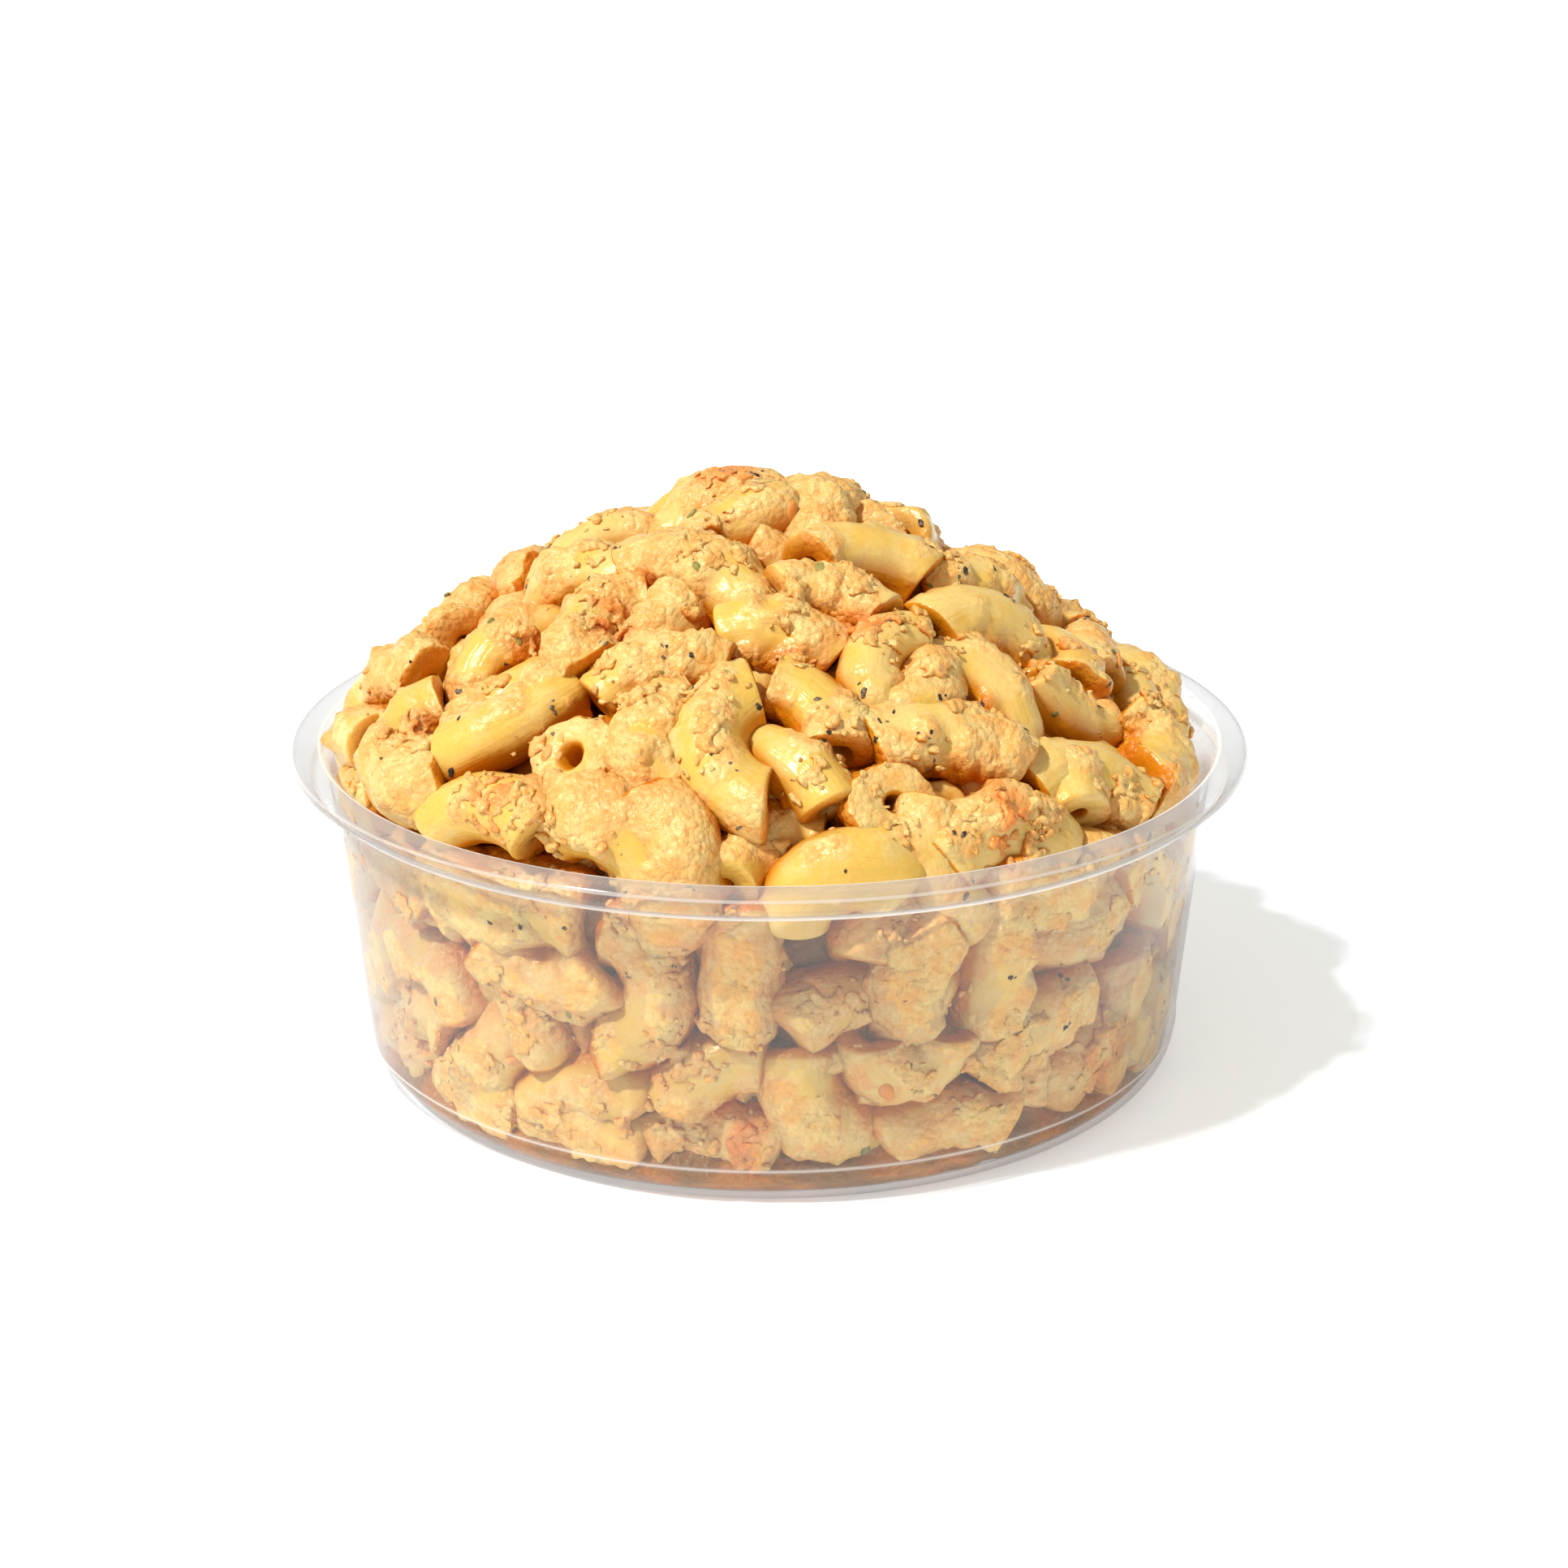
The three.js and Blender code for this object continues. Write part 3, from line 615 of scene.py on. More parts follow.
class Crowd:
    """All pieces as rows of balls, to tell how shut in a point of the surface is, for the shade that the
    material paints there.
    """

    def __init__(self, elbows):
        self.centres = np.array([bead for elbow in elbows for bead in elbow.beads[::2]])
        self.radii = np.repeat([elbow.radius for elbow in elbows], 4)
        self.owners = np.repeat(np.arange(len(elbows)), 4)

    def shade(self, points, normals, owner=-1):
        centre = points.mean(axis=0)
        reach = np.linalg.norm(points - centre, axis=1).max() + 9
        apart = np.linalg.norm(self.centres - centre, axis=1)
        near = (apart < reach) & (self.owners != owner)
        gap = self.centres[near][None] - points[:, None]
        far = np.maximum(np.linalg.norm(gap, axis=2), self.radii[near])
        facing = np.clip(np.einsum("pbk,pk->pb", gap, normals) / far, 0, 1)
        return 0.6 * (facing * (self.radii[near] / far) ** 2).sum(axis=1)

    def shade_all(self, points, normals):
        """The same for a large mesh, one block of space at a time."""
        blocks = np.floor(points / 9).astype(np.int64) @ np.array([1, 1000, 1000000])
        shade = np.zeros(len(points))
        for block in np.unique(blocks):
            here = blocks == block
            shade[here] = self.shade(points[here], normals[here])
        return shade


# shade and depth carry painted shade: darker in the nooks, and darker the further below the heap's
# outline, over the depths given in dark
def add_elbow(soup, elbow, number, steps, sides, coat_share, crowd, shift=0.0, dark=(6, 15)):
    points, normals, faces, mask, tone, grain, lumps = elbow_shell(elbow, number, steps, sides,
                                                                   coat_share)
    shade = crowd.shade(points, normals, number)
    points = keep_inside(points + np.array(elbow.out) * shift)
    soup.add(points, faces, coat=mask, tone=tone, grain=grain, shade=shade,
             orange=carrot_share(points) * (0.25 + 0.75 * mask) * (0.55 + 0.45 * lumps),
             depth=smooth_step(sunk_depth(points), *dark))


DEEP_SEED = 41
# zone, pieces, how far under the outline, contact allowed when thrown
DEEP_PIECES = (("side", 60, 0.2, 6), ("top", 26, 2.0, 6), ("top", 70, 6.5, 5.5),
               ("side", 50, 5, 5.5), ("floor", 14, 0, 6))
FOOT_RING = 15                    # pieces that lie in the corner of the tub, all the way round


def build_elbows(material):
    elbows = pack_heap()
    held = len(elbows)
    random = make_random(DEEP_SEED)
    for number in range(FOOT_RING):
        bearing = 360 * (number + random(-0.3, 0.3)) / FOOT_RING
        row = ("side", bearing, random(5.5, 7), random(-16, 16), random(-60, 60), 0,
               random(60, 130), 0, random(14, 18))
        elbow = Elbow(row, 1)
        beads = np.array([e.beads for e in elbows])
        if deepest_contact(elbow, beads, np.array([e.radius for e in elbows])) < 6.5:
            elbows.append(elbow)
    for zone, count, drop, tolerance in DEEP_PIECES:
        throw(random, zone, count, drop, tolerance, elbows)
    settle(elbows, held, 20)
    crowd = Crowd(elbows)
    soups = {name: Soup() for name in ("macaroni_front", "macaroni_back", "macaroni_side",
                                       "macaroni_deep")}
    for number, elbow in enumerate(elbows):
        deep = elbow.lift < -3.5 or number >= held and elbow.zone == "floor"
        if elbow.zone == "top" and number < held:
            front = elbow.middle[1] < FRONT_LINE
            steps, sides = (30, 42) if front else (22, 32)
            soup = soups["macaroni_front" if front else "macaroni_back"]
            add_elbow(soup, elbow, number, steps, sides, 0.45, crowd)
        elif elbow.zone == "top" or deep:
            add_elbow(soups["macaroni_deep"], elbow, number, 12, 20, 0.5, crowd, 0, (3.5, 11))
        else:
            add_elbow(soups["macaroni_side"], elbow, number, 17, 28, 0.58, crowd, WALL_SHIFT)
    joined = []
    for name, soup in soups.items():
        points, faces, values = soup.joined()
        joined.append((points, faces))
        make_piece(name, points, faces, values, material, "macaroni_salad")
    return joined, crowd


FRONT_LINE = 8                    # top pieces this far back and more have a coarser mesh
WALL_SHIFT = 0.6                 # side pieces lean out by this much, so that they touch the plastic


# ---------------------------------------------------------------------------------------------
# The inner mass, which fills the gaps that show between the pieces, coloured dark as painted shade
# ---------------------------------------------------------------------------------------------

CORE_DEPTH = 11
CORE_SIDES = 200


def build_core(material):
    wall = wall_reach(np.array([10.0]))[0] - 6
    rim = heap_top(0, -wall) - CORE_DEPTH
    foot = [(float(wall_reach(np.array([z]))[0]) - 0.4, z) for z in (3.8, 3.2, 2.6, 2.0, 1.5, 1.0)]
    rows = [(wall * share, heap_top(0, -wall * share) - CORE_DEPTH) for share in np.linspace(0, 1, 36)]
    rows += [(wall, rim + (9 - rim) * share) for share in np.linspace(0.1, 1, 12)]
    rows += [(wall + 1.5, 7), (wall + 3.5, 5)] + foot
    rows += [(46, 0.8), (45, 0.8)]
    rows += [(r, FLOOR_RAISE + SHEET + 0.3) for r in (43.5, 36, 24, 12, 0)]
    turn = 2 * math.pi * np.arange(CORE_SIDES) / CORE_SIDES
    points = np.array([[r * math.cos(a), r * math.sin(a), z] for r, z in rows[1:-1] for a in turn])
    middle = np.array([0, 0, 20.0])
    out = points - middle
    out /= np.linalg.norm(out, axis=1)[:, None]
    bumps = 2.6 * lump_noise(points, 5, 91) + 1.2 * lump_noise(points, 2, 92) - 1.6
    points = keep_inside(points + out * bumps[:, None])
    faces = grid_faces(len(rows) - 2, CORE_SIDES)
    faces = faces[: -CORE_SIDES]
    top, low = len(points), len(points) + 1
    last = len(points) - CORE_SIDES
    points = np.vstack([points, [[0, 0, rows[0][1]], [0, 0, rows[-1][1]]]])
    ring = np.arange(CORE_SIDES)
    ahead = (ring + 1) % CORE_SIDES
    lid = np.stack([ring, ahead, np.full_like(ring, top), np.full_like(ring, top)], axis=1)
    base = np.stack([last + ahead, last + ring, np.full_like(ring, low)], axis=1)
    mesh_faces = faces.tolist() + lid[:, :3].tolist() + base.tolist()
    mesh = bpy.data.meshes.new("salad_core")
    mesh.from_pydata((points * MM).tolist(), [], mesh_faces)
    low = points[:, 2] < 7
    patches = smooth_step(cloud_noise(points, 4, 93), 0.38, 0.6)
    # painted shade: deep brown, a little lighter and patchy low down by the tub's corner
    values = {"coat": 1.0, "tone": 0.0, "orange": 0.1, "shade": np.where(low, 1.0, 1.5),
              "depth": np.where(low, 0.45 + 0.5 * patches, 0.95)}
    for key, value in values.items():
        layer = mesh.attributes.new(key, "FLOAT", "POINT")
        layer.data.foreach_set("value", np.broadcast_to(value, len(points)).astype(np.float32))
    mesh.polygons.foreach_set("use_smooth", [True] * len(mesh.polygons))
    mesh.materials.append(material)
    piece = bpy.data.objects.new("salad_core", mesh)
    bpy.context.scene.collection.objects.link(piece)
    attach(piece, "root")
    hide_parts("macaroni_salad")


# ---------------------------------------------------------------------------------------------
# Dressing in clumps, crumbs, and the small bits that lie on the pasta
# ---------------------------------------------------------------------------------------------


def ball(level):
    """Points and triangles of a ball of radius 1."""
    mesh = bpy.data.meshes.new("ball")
    work = bmesh.new()
    bmesh.ops.create_icosphere(work, subdivisions=level, radius=1)
    work.to_mesh(mesh)
    work.free()
    points = np.array([v.co[:] for v in mesh.vertices])
    faces = np.array([p.vertices[:] for p in mesh.polygons])
    bpy.data.meshes.remove(mesh)
    return points, faces


def crumb_shape(shape, number, random):
    """A ball made uneven: knobbly, longer one way than the others, and turned any way."""
    bumps = 1 + 0.8 * (cloud_noise(shape * 1.5 + 11.7 * number, 1.1, 81, 2) - 0.5)
    axes = np.array([random(0.9, 1.5), random(0.7, 1.1), random(0.55, 0.9)])
    a, b = random(0, math.pi), random(0, 2 * math.pi)
    turn = np.array([[math.cos(b), math.sin(b), 0],
                     [-math.sin(b) * math.cos(a), math.cos(b) * math.cos(a), math.sin(a)],
                     [math.sin(b) * math.sin(a), -math.cos(b) * math.sin(a), math.cos(a)]])
    return (shape * bumps[:, None] * axes) @ turn


def melt(balls, voxel):
    """One skin round many lumps, as points and quads."""
    shape, triangles = ball(2)
    random = make_random(717)
    soup = Soup()
    for number, (centre, radius) in enumerate(balls):
        soup.add(np.array(centre) + crumb_shape(shape, number, random) * radius, triangles)
    points, faces, _ = soup.joined()
    mesh = bpy.data.meshes.new("balls")
    mesh.from_pydata(points.tolist(), [], faces.tolist())
    work = bpy.data.objects.new("balls", mesh)
    bpy.context.scene.collection.objects.link(work)
    remesh = work.modifiers.new("melt", "REMESH")
    remesh.mode = "VOXEL"
    remesh.voxel_size = voxel
    made = work.evaluated_get(bpy.context.evaluated_depsgraph_get()).to_mesh()
    points = np.array([v.co[:] for v in made.vertices])
    faces = np.array([p.vertices[:] for p in made.polygons])
    normals = np.array([v.normal[:] for v in made.vertices])
    bpy.data.objects.remove(work)
    bpy.data.meshes.remove(mesh)
    return points, faces, normals


def drop_on(tree, point, out, reach=9.0):
    """Where something that falls against the heap comes to lie, or None."""
    origin = Vector(point) + Vector(out) * reach
    hit, normal, _, _ = tree.ray_cast(origin, -Vector(out), 2.4 * reach)
    return (hit, normal) if hit is not None else (None, None)


def place_in(random, zone):
    share = random(0, 1)
    return 5 + 31 * share if zone == "side" else (56 if zone == "top" else 46) * math.sqrt(share)


def clump_seats(tree, random, zones):
    """Where the clumps lie: outline point, way out, spread, number of lumps."""
    seats = []
    for pixel, spread, count in CLUMP_PIXELS:
        hit, _ = photo_hit(tree, pixel)
        high = hit is not None and hit.z > RIM_TOP
        if hit is not None and high == (zones[0][0] == "top"):
            out = top_normal(hit.x, hit.y) if high else unit((hit.x, hit.y, 0))
            seats.append((hit, out, spread, int(2.3 * count)))
    for zone, number in zones:
        for _ in range(number):
            bearing = random(-180, 180)
            point, out, _ = footing(zone, bearing, place_in(random, zone), 0)
            seats.append((point, out, random(1.2, 3.4), int(random(10, 30))))
    return seats


def build_clumps(name, zones, voxel, tree, crowd, material):
    random = make_random(303)
    balls = []
    for point, out, spread, count in clump_seats(tree, random, zones):
        along = Vector(out).orthogonal().normalized()
        across = Vector(out).cross(along)
        for _ in range(count):
            far, turn = spread * random(0, 1) ** 0.7, random(0, 2 * math.pi)
            aside = along * far * math.cos(turn) + across * far * math.sin(turn)
            radius = random(0.25, 0.75) * (1 - 0.4 * far / spread)
            hit, _ = drop_on(tree, Vector(point) + aside, out)
            if hit is None:
                continue
            rise = random(-0.35, 0.55) * (1 - far / (1.2 * spread))
            balls.append((hit + Vector(out) * rise * radius, radius))
    points, faces, normals = melt(balls, voxel)
    rough = 0.16 * (lump_noise(points, 0.7, 51) - 0.35) + 0.7 * (cloud_noise(points, 1.1, 52) - 0.5)
    points = keep_inside(points + normals * rough[:, None])
    # depth and shade carry painted shade: darker the further below the heap's outline, and in the nooks
    depth = smooth_step(sunk_depth(points), 6, 15)
    orange = np.maximum(carrot_share(points), 0.12)
    values = {"coat": np.ones(len(points)), "tone": 2 * cloud_noise(points, 4, 61) - 1,
              "orange": orange, "depth": depth, "grain": points,
              "shade": crowd.shade_all(points, normals)}
    make_piece(name, points, faces, values, material, "macaroni_salad")


def build_bits(name, tree, seats, sizes, flatness, sink, seed, material, rough=0.55, level=2):
    """Small bits on the surface: seats are points with their way out."""
    shape, triangles = ball(level)
    random = make_random(seed)
    soup = Soup()
    for number, (point, out) in enumerate(seats):
        hit, normal = drop_on(tree, point, out, 7.0)
        if hit is None:
            continue
        if normal.dot(Vector(out)) < 0:
            normal = -normal
        size = random(*sizes)
        axes = np.array([size * random(0.75, 1.35), size * random(0.5, 0.85), size * flatness])
        bumps = 1 + rough * (cloud_noise(shape * 1.4 + 11.7 * number, 1.1, 81, 2) - 0.5)
        along = Vector((random(-1, 1), random(-1, 1), random(-1, 1)))
        across = normal.cross(along).normalized()
        turn = np.array([across.cross(normal)[:], across[:], normal[:]])
        points = (shape * bumps[:, None] * axes) @ turn + np.array(hit + normal * axes[2] * sink)
        points = keep_inside(points)
        soup.add(points, triangles, tone=random(-1, 1),
                 depth=smooth_step(sunk_depth(points), 3.5, 11))
    points, faces, values = soup.joined()
    make_piece(name, points, faces, values, material, "macaroni_salad")


def scattered(random, counts):
    seats = []
    for zone, count in counts:
        for _ in range(count):
            point, out, _ = footing(zone, random(-180, 180), place_in(random, zone), 0)
            seats.append((point, out))
    return seats


def strewn(random, seats, spread):
    """The seats, some of them with one or two more close by."""
    more = list(seats)
    for point, out in seats:
        for _ in range(int(random(0, 2.6))):
            aside = Vector((random(-1, 1), random(-1, 1), random(-1, 1))) * spread
            more.append((Vector(point) + aside, out))
    return more


def pixel_seats(tree, pixels):
    seats = []
    for pixel in pixels:
        hit, _ = photo_hit(tree, pixel)
        if hit is not None:
            high = hit.z > RIM_TOP
            seats.append((hit, top_normal(hit.x, hit.y) if high else unit((hit.x, hit.y, 0))))
    return seats


# ---------------------------------------------------------------------------------------------
# The tub
# ---------------------------------------------------------------------------------------------

TUB_TURNS = 240
CROWN_RADIUS = 1.1
FLANGE_LIP = 0.9
MOUTH_BEVEL = 0.7
CORNER_CENTRE = WALL_FOOT_RADIUS - CORNER_RADIUS
WET = -0.2                        # frost where dressing wets the plastic: clearer than the wall


def arc(centre_r, centre_z, radius, start, end, steps):
    angles = np.radians(np.linspace(start, end, steps + 1))
    return [(centre_r + radius * math.cos(a), centre_z + radius * math.sin(a)) for a in angles]


def tub_profile():
    """Points of the section with how milky the plastic is there; the narrow milky rings are partly
    painted highlight lines.
    """
    flange_foot = RIM_TOP - FLANGE_DROP
    lip = RIM_RADIUS - 2 * CROWN_RADIUS
    wall_in = WALL_TOP_RADIUS - SHEET
    ring_in = CORNER_CENTRE - FOOT_WIDTH
    foot_r = WALL_FOOT_RADIUS + 0.05
    crown = (RIM_RADIUS - CROWN_RADIUS, RIM_TOP - CROWN_RADIUS, CROWN_RADIUS)
    parts = [
        ([(0, FLOOR_RAISE), (ring_in - 0.8, FLOOR_RAISE), (ring_in, 0)], 0.05),
        (arc(CORNER_CENTRE, CORNER_RADIUS, CORNER_RADIUS, -90, 0, 10), WET),
        ([(foot_r, WALL_FOOT_Z - 0.35)], 0.05),
        # narrow milky rings here and at the flange's edge, the crown and the mouth: frosted plastic and
        # painted highlight lines
        ([(foot_r + 0.05, WALL_FOOT_Z - 0.12), (foot_r + 0.14, WALL_FOOT_Z + 0.1)], 0.8),
        ([(foot_r + 0.08, WALL_FOOT_Z + 0.35), (wall_outside(7), 7), (wall_outside(20), 20),
          (wall_outside(34), 34)], 0.0),
        ([(WALL_TOP_RADIUS - 0.1, flange_foot - 0.3), (WALL_TOP_RADIUS + 0.3, flange_foot),
          (lip - FLANGE_LIP, flange_foot)], 0.1),
        ([(lip - 0.5, flange_foot + 0.08), (lip - 0.15, flange_foot + 0.3)], 1.0),
        ([(lip, flange_foot + FLANGE_LIP)], 0.1),
        (arc(*crown, -30, 15, 4), 0.1),
        (arc(*crown, 22, 36, 1), 0.7),
        (arc(*crown, 44, 90, 5), 0.3),
        ([(MOUTH_RADIUS + 0.8, RIM_TOP), (MOUTH_RADIUS + 0.5, RIM_TOP)], 0.3),
        ([(MOUTH_RADIUS + 0.2, RIM_TOP), (MOUTH_RADIUS, RIM_TOP - 0.12)], 1.0),
        ([(MOUTH_RADIUS - 0.2, RIM_TOP - 0.3), (MOUTH_RADIUS - MOUTH_BEVEL, RIM_TOP - MOUTH_BEVEL)], 0.1),
        ([(wall_in, flange_foot), (wall_outside(20) - SHEET, 20)], 0.0),
        (arc(CORNER_CENTRE, CORNER_RADIUS, CORNER_RADIUS - SHEET, 0, -90, 10), WET),
        ([(ring_in, SHEET), (ring_in - 0.8, FLOOR_RAISE + SHEET), (0, FLOOR_RAISE + SHEET)], 0.05),
    ]
    return [(r, z, frost_and_highlight) for points, frost_and_highlight in parts for r, z in points]


def build_tub(material):
    profile = tub_profile()
    rings = profile[1:-1]
    turn = 2 * math.pi * np.arange(TUB_TURNS) / TUB_TURNS
    points = np.array([[r * math.cos(a), r * math.sin(a), z] for r, z, _ in rings for a in turn])
    frost_and_highlight = np.repeat([f for _, _, f in rings], TUB_TURNS)
    faces = grid_faces(len(rings), TUB_TURNS)[:-TUB_TURNS].tolist()
    low, high = len(points), len(points) + 1
    points = np.vstack([points, [[0, 0, profile[0][1]], [0, 0, profile[-1][1]]]])
    frost_and_highlight = np.append(frost_and_highlight, [profile[0][2], profile[-1][2]])
    last = len(rings) * TUB_TURNS - TUB_TURNS
    for i in range(TUB_TURNS):
        j = (i + 1) % TUB_TURNS
        faces.append([low, j, i])
        faces.append([high, last + i, last + j])
    mesh = bpy.data.meshes.new("clear_tub")
    mesh.from_pydata((points * MM).tolist(), [], faces)
    layer = mesh.attributes.new("frost_and_highlight", "FLOAT", "POINT")
    layer.data.foreach_set("value", frost_and_highlight.astype(np.float32))
    mesh.polygons.foreach_set("use_smooth", [True] * len(mesh.polygons))
    mesh.materials.append(material)
    piece = bpy.data.objects.new("clear_tub", mesh)
    bpy.context.scene.collection.objects.link(piece)
    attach(piece, "root")
    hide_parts("tub")


# ---------------------------------------------------------------------------------------------
# Materials
# ---------------------------------------------------------------------------------------------


class Shader:
    """A material's node tree, built by short calls."""

    def __init__(self, name):
        self.material = bpy.data.materials.new(name)
        self.material.use_nodes = True
        self.tree = self.material.node_tree
        self.tree.nodes.clear()
        self.output = self.tree.nodes.new("ShaderNodeOutputMaterial")

    def node(self, kind, inputs=(), **settings):
        made = self.tree.nodes.new(kind)
        for key, value in settings.items():
            setattr(made, key, value)
        for key, value in dict(inputs).items():
            self.put(made.inputs[key], value)
        return made

    def put(self, socket, value):
        if isinstance(value, bpy.types.NodeSocket):
            self.tree.links.new(value, socket)
        else:
            socket.default_value = value

    def value(self, name, vector=False):
        made = self.node("ShaderNodeAttribute", attribute_name=name)
        return made.outputs["Vector" if vector else "Fac"]

    def maths(self, operation, *values, clamp=False):
        made = self.node("ShaderNodeMath", operation=operation, use_clamp=clamp)
        for socket, value in zip(made.inputs, values):
            self.put(socket, value)
        return made.outputs[0]

    def colour(self, share, a, b, blend="MIX"):
        made = self.node("ShaderNodeMix", data_type="RGBA", blend_type=blend)
        self.put(made.inputs[0], share)
        for socket, value in zip((made.inputs[6], made.inputs[7]), (a, b)):
            self.put(socket, value if isinstance(value, bpy.types.NodeSocket) else (*value, 1))
        return made.outputs[2]

    def between(self, value, low, high, to_low=0.0, to_high=1.0):
        made = self.node("ShaderNodeMapRange", interpolation_type="SMOOTHSTEP")
        for key, number in zip(("Value", "From Min", "From Max", "To Min", "To Max"),
                               (value, low, high, to_low, to_high)):
            self.put(made.inputs[key], number)
        return made.outputs["Result"]

    def noise(self, scale, detail=2.0, where=None):
        where = where or self.node("ShaderNodeTexCoord").outputs["Object"]
        made = self.node("ShaderNodeTexNoise", {"Vector": where, "Scale": scale,
                                                "Detail": detail})
        return made.outputs["Fac"]

    def grains(self, scale):
        """Distance to the middle of the nearest of many small round lumps."""
        where = self.node("ShaderNodeTexCoord").outputs["Object"]
        made = self.node("ShaderNodeTexVoronoi", {"Vector": where, "Scale": scale},
                         feature="F1")
        return made.outputs["Distance"]

    def bump(self, height, distance, strength=1.0, normal=None):
        made = self.node("ShaderNodeBump", {"Height": height, "Distance": distance,
                                            "Strength": strength})
        if normal is not None:
            self.put(made.inputs["Normal"], normal)
        return made.outputs["Normal"]

    def finish(self, shader):
        self.tree.links.new(shader, self.output.inputs["Surface"])
        return self.material


BARE_PALE, BARE_GOLD = (0.78, 0.56, 0.19), (0.76, 0.49, 0.10)
CREAM, PEACH = (0.80, 0.56, 0.21), (0.81, 0.43, 0.12)
CARROT_TINT = (0.80, 0.25, 0.05)
NOOK_SHADE = (0.76, 0.40, 0.03)      # painted shade: what the colours are multiplied by in the nooks
# painted shade: the dark colours that parts deep below the heap's outline turn towards
DEEP_SHADE_ORANGE, DEEP_SHADE_BROWN = (0.36, 0.11, 0.004), (0.17, 0.08, 0.018)
WARM_GLINT = (1.0, 0.9, 0.68)


def pasta_material(name, deep):
    s = Shader(name)
    coat, tone, orange, depth = (s.value(name) for name in ("coat", "tone", "orange", "depth"))
    patches = s.noise(260, 2)
    fine = s.noise(1900, 2)
    bare = s.colour(s.between(s.maths("ADD", patches, s.maths("MULTIPLY", tone, 0.12)), 0.35, 0.65),
                    BARE_GOLD, BARE_PALE)
    cream = s.colour(s.between(s.noise(420, 3), 0.38, 0.62), CREAM, PEACH)
    colour = s.colour(s.between(coat, 0.1, 0.6), bare, cream)
    colour = s.colour(orange, colour, CARROT_TINT)
    colour = s.colour(s.maths("MULTIPLY", s.between(fine, 0.4, 0.7), 0.2), colour, (0.7, 0.3, 0.05))
    # painted shade: darker and more orange where a point is shut in by other pieces
    colour = s.colour(s.between(s.value("shade"), 0.05, 1.0), colour, NOOK_SHADE, "MULTIPLY")
    # painted shade: towards the deep colour the further below the heap's outline
    colour = s.colour(s.maths("MULTIPLY", depth, 0.9), colour, deep)
    lines = s.noise(1.6, 2, s.value("grain", vector=True))
    crumbs = s.maths("MULTIPLY_ADD", s.grains(1000), -1.3, fine)
    height = s.maths("ADD", s.maths("MULTIPLY", lines, s.maths("MULTIPLY_ADD", coat, -0.35, 0.45)),
                     s.maths("MULTIPLY", crumbs, s.maths("MULTIPLY_ADD", coat, 0.9, 0.1)))
    skin = s.node("ShaderNodeBsdfPrincipled", {
        "Base Color": colour,
        "Roughness": s.between(coat, 0.1, 0.7, 0.28, 0.38),
        "Normal": s.bump(height, 0.00028),
        "Subsurface Weight": 0.25,
        "Subsurface Radius": (1.0, 0.6, 0.15),
        "Subsurface Scale": 0.0022,
        "Specular IOR Level": 0.5,
        "Specular Tint": (*WARM_GLINT, 1),
    })
    return s.finish(skin.outputs[0])


def bit_material(name, pale, dark, roughness, scale=900):
    s = Shader(name)
    tone = s.maths("MULTIPLY", s.value("tone"), 0.2)
    share = s.between(s.maths("ADD", s.noise(scale, 2), tone), 0.3, 0.7)
    colour = s.colour(share, dark, pale)
    skin = s.node("ShaderNodeBsdfPrincipled", {
        "Base Color": colour,
        "Roughness": roughness,
        "Normal": s.bump(s.noise(2200, 2), 0.0001),
        "Specular IOR Level": 0.25,
    })
    return s.finish(skin.outputs[0])


def plastic_material():
    s = Shader("clear_plastic")
    facing = s.node("ShaderNodeLayerWeight", {"Blend": 0.5}).outputs["Facing"]
    edge = s.maths("POWER", facing, 3.0)
    haze = s.maths("ADD", HAZE, s.maths("MULTIPLY", s.value("frost_and_highlight"), FROST_AND_HIGHLIGHT_HAZE))
    haze = s.maths("ADD", haze, s.maths("MULTIPLY", edge, EDGE_HAZE), clamp=True)
    thick = s.maths("ADD", edge, s.maths("MULTIPLY", s.value("frost_and_highlight"), 0.35), clamp=True)
    tint = s.colour(thick, (0.98, 0.98, 0.98), (0.56, 0.56, 0.57))
    clear = s.node("ShaderNodeBsdfTransparent", {"Color": tint}).outputs[0]
    # milkier rings turn whiter: partly frosted plastic, partly painted highlight lines
    milk = s.colour(s.between(s.value("frost_and_highlight"), 0.3, 0.9), (0.70, 0.69, 0.70), (1.0, 0.98, 0.96))
    white = s.node("ShaderNodeBsdfDiffuse", {"Color": milk}).outputs[0]
    glow = s.node("ShaderNodeBsdfTranslucent", {"Color": milk}).outputs[0]
    milky = s.node("ShaderNodeMixShader", {0: 0.5, 1: white, 2: glow}).outputs[0]
    sheet = s.node("ShaderNodeMixShader", {0: haze, 1: clear, 2: milky}).outputs[0]
    gloss = s.node("ShaderNodeBsdfGlossy", {"Color": (1, 1, 1, 1), "Roughness": 0.12}).outputs[0]
    mirror = s.maths("ADD", s.maths("MULTIPLY", s.maths("POWER", facing, 5.0), 0.6), 0.03)
    return s.finish(s.node("ShaderNodeMixShader", {0: mirror, 1: sheet, 2: gloss}).outputs[0])


HAZE, FROST_AND_HIGHLIGHT_HAZE, EDGE_HAZE = 0.045, 0.7, 0.26


# ---------------------------------------------------------------------------------------------
# Camera, and where the photo shows things: pixels of a picture 1932 wide
# ---------------------------------------------------------------------------------------------

PICTURE = 1932
FOCAL = 3569.65                   # in pixels of that picture
EYE = Vector((1.7726, -340.0, 152.185))
LOOK_DOWN = 0.3383142
SENSOR = 36


def photo_ray(pixel):
    x, y = (pixel[0] - PICTURE / 2) / FOCAL, (PICTURE / 2 - pixel[1]) / FOCAL
    s, c = math.sin(LOOK_DOWN), math.cos(LOOK_DOWN)
    return Vector((x, c + y * s, y * c - s)).normalized()


def photo_hit(tree, pixel):
    hit, normal, _, _ = tree.ray_cast(EYE, photo_ray(pixel), 600)
    return hit, normal


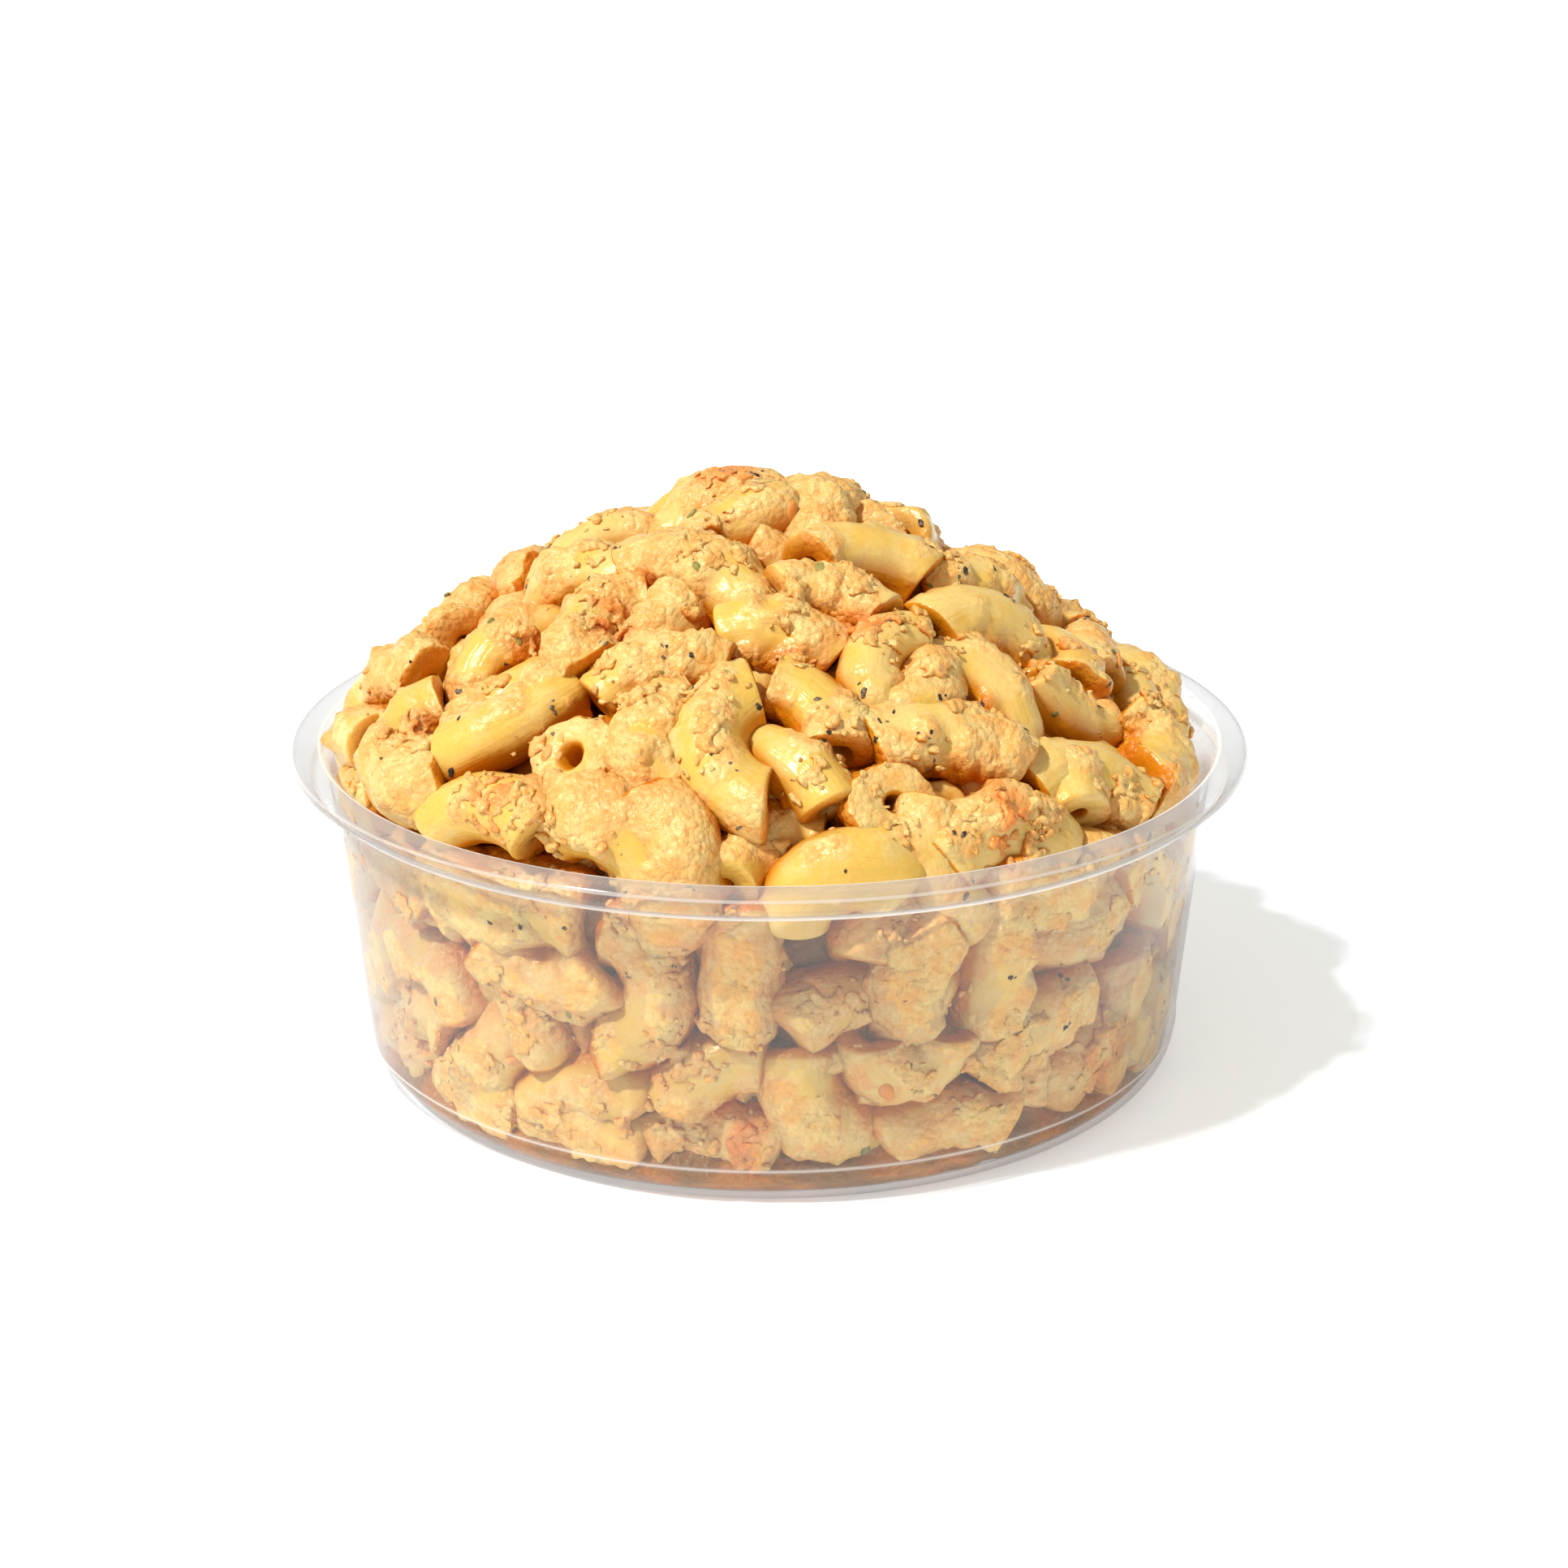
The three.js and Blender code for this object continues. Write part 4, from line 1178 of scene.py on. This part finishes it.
# pixel, radius in millimetres
CARROT_PIXELS = (
    ((895, 590), 5.5), ((985, 812), 3.5), ((1070, 775), 4.0), ((745, 765), 4.5),
    ((620, 990), 6.0), ((1240, 1010), 6.0), ((500, 900), 4.0), ((745, 900), 2.5),
    ((1345, 1300), 6.0), ((900, 1410), 6.0), ((1110, 1180), 5.0), ((640, 1250), 4.5),
    ((1180, 640), 3.5), ((1330, 800), 3.5), ((820, 700), 3.5), ((1420, 930), 3.5),
)
# pixel, spread in millimetres, number of lumps
CLUMP_PIXELS = (
    ((895, 595), 3.0, 20), ((985, 812), 2.6, 16), ((1070, 775), 3.2, 20),
    ((745, 765), 3.0, 18), ((620, 990), 5.0, 40), ((655, 1015), 3.0, 20), ((580, 975), 3.0, 18),
    ((1240, 1010), 4.5, 30), ((1285, 1000), 3.0, 18), ((500, 900), 3.2, 20), ((1110, 1180), 4.5, 24),
    ((1345, 1300), 4.5, 28), ((900, 1410), 4.5, 28), ((640, 1250), 4.0, 20), ((840, 1320), 3.0, 14),
)
HERB_PIXELS = ((605, 765), (640, 790), (815, 830), (1010, 700), (1300, 880))
PEPPER_PIXELS = (
    (725, 623), (745, 625), (780, 628), (764, 674), (746, 793), (817, 796), (817, 810), (852, 807),
    (855, 847), (903, 814), (506, 815), (624, 818), (566, 852), (575, 876), (556, 952), (680, 872),
    (935, 871), (1007, 862), (900, 940), (999, 959), (910, 1020), (1065, 854), (1165, 857),
    (1192, 859), (1093, 889), (1148, 902), (1071, 934), (1143, 948), (1337, 763), (1361, 850),
    (1436, 843), (1440, 873), (1135, 645), (891, 580), (930, 585), (1190, 705), (1225, 700),
    (1325, 765),
)
# piece, zones with clumps in each, the fineness of its skin
CLUMPS = (("dressing_on_top", (("top", 150),), 0.32),
          ("dressing_at_wall", (("side", 210), ("floor", 8)), 0.38))


def add_camera():
    lens = bpy.data.cameras.new("photo_camera")
    lens.sensor_width = SENSOR
    lens.lens = SENSOR * FOCAL / PICTURE
    lens.clip_start, lens.clip_end = 0.01, 50
    camera = bpy.data.objects.new("photo_camera", lens)
    camera.location = EYE * MM
    camera.rotation_euler = (math.pi / 2 - LOOK_DOWN, 0, 0)
    bpy.context.scene.collection.objects.link(camera)
    bpy.context.scene.camera = camera


def add_floor():
    mesh = bpy.data.meshes.new("floor")
    half = 6.0
    mesh.from_pydata([(-half, -half, 0), (half, -half, 0), (half, half, 0), (-half, half, 0)], [],
                     [(0, 1, 2, 3)])
    s = Shader("lit_white_floor")
    paper = s.node("ShaderNodeBsdfDiffuse", {"Color": (*FLOOR_COLOUR, 1)}).outputs[0]
    glow = s.node("ShaderNodeEmission", {"Strength": FLOOR_GLOW}).outputs[0]
    mesh.materials.append(s.finish(s.node("ShaderNodeAddShader", {0: paper, 1: glow}).outputs[0]))
    floor = bpy.data.objects.new("floor", mesh)
    floor.location = (0, 0, -0.00005)
    bpy.context.scene.collection.objects.link(floor)


FLOOR_COLOUR = (0.86, 0.935, 1.0)
FLOOR_GLOW = 0.40
SKY, SKY_COLOUR = 0.47, (1, 0.955, 0.86)
SUN_STRENGTH, SUN_ANGLE = 3.75, 3.8
SUN_BEARING, SUN_HEIGHT = -58, 53     # degrees: from the front left


def add_light():
    world = bpy.data.worlds.new("studio")
    world.use_nodes = True
    back = world.node_tree.nodes["Background"]
    back.inputs["Color"].default_value = (*SKY_COLOUR, 1)
    back.inputs["Strength"].default_value = SKY
    bpy.context.scene.world = world
    sun = bpy.data.lights.new("sun", "SUN")
    sun.energy = SUN_STRENGTH
    sun.angle = math.radians(SUN_ANGLE)
    sun.color = (1, 0.985, 0.96)
    lamp = bpy.data.objects.new("sun", sun)
    b, h = math.radians(SUN_BEARING), math.radians(SUN_HEIGHT)
    towards = Vector((math.sin(b) * math.cos(h), -math.cos(b) * math.cos(h), math.sin(h)))
    lamp.rotation_mode = "QUATERNION"
    lamp.rotation_quaternion = towards.to_track_quat("Z", "Y")
    lamp.location = towards
    bpy.context.scene.collection.objects.link(lamp)
    bpy.context.scene.view_settings.view_transform = "Standard"


def polygons_tree(parts):
    points, faces, start = [], [], 0
    for part_points, part_faces in parts:
        points.append(part_points)
        faces.extend((part_faces + start).tolist())
        start += len(part_points)
    return BVHTree.FromPolygons(np.concatenate(points).tolist(), faces)


def solid_tree(node):
    mesh = node.data
    points = [(v.co / MM)[:] for v in mesh.vertices]
    return BVHTree.FromPolygons(points, [p.vertices[:] for p in mesh.polygons])


heap_solid = solid_tree(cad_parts["macaroni_salad"])
CARROT_CENTRES = []
for pixel, size in CARROT_PIXELS:
    spot, _ = photo_hit(heap_solid, pixel)
    if spot is not None:
        CARROT_CENTRES.append((np.array(spot), size))

pasta = pasta_material("macaroni_and_dressing", DEEP_SHADE_ORANGE)
elbow_parts, crowd = build_elbows(pasta)
build_core(pasta_material("dressing_in_painted_deep_shade", DEEP_SHADE_BROWN))
surface = polygons_tree(elbow_parts)
for clump_name, clump_zones, clump_voxel in CLUMPS:
    build_clumps(clump_name, clump_zones, clump_voxel, surface, crowd, pasta)

random = make_random(505)
build_bits("dressing_crumbs", surface,
           strewn(random, scattered(random, (("top", 30), ("side", 30))), 1.0),
           (0.2, 0.5), 0.5, -0.2, 61, bit_material("crumb", (0.86, 0.52, 0.18), (0.82, 0.40, 0.10),
                                                   0.5))
build_bits("carrot_bits", surface, scattered(random, (("top", 26), ("side", 18), ("floor", 5))),
           (0.6, 1.4), 0.4, -0.3, 62, bit_material("carrot", (0.78, 0.40, 0.13), (0.74, 0.28, 0.06),
                                                   0.45))
build_bits("herb_bits", surface, pixel_seats(surface, HERB_PIXELS)
           + scattered(random, (("top", 16), ("side", 12))),
           (0.35, 0.8), 0.2, 0.4, 63, bit_material("herb", (0.30, 0.26, 0.07), (0.16, 0.15, 0.03),
                                                   0.5))
build_bits("pepper_flakes", surface, strewn(random, pixel_seats(surface, PEPPER_PIXELS)
                                            + scattered(random, (("top", 70), ("side", 40))), 1.1),
           (0.16, 0.46), 0.22, 0.5, 64, bit_material("pepper", (0.26, 0.19, 0.12),
                                                     (0.035, 0.025, 0.018), 0.7, 2600), 2.2)
build_tub(plastic_material())
add_floor()
add_light()
add_camera()
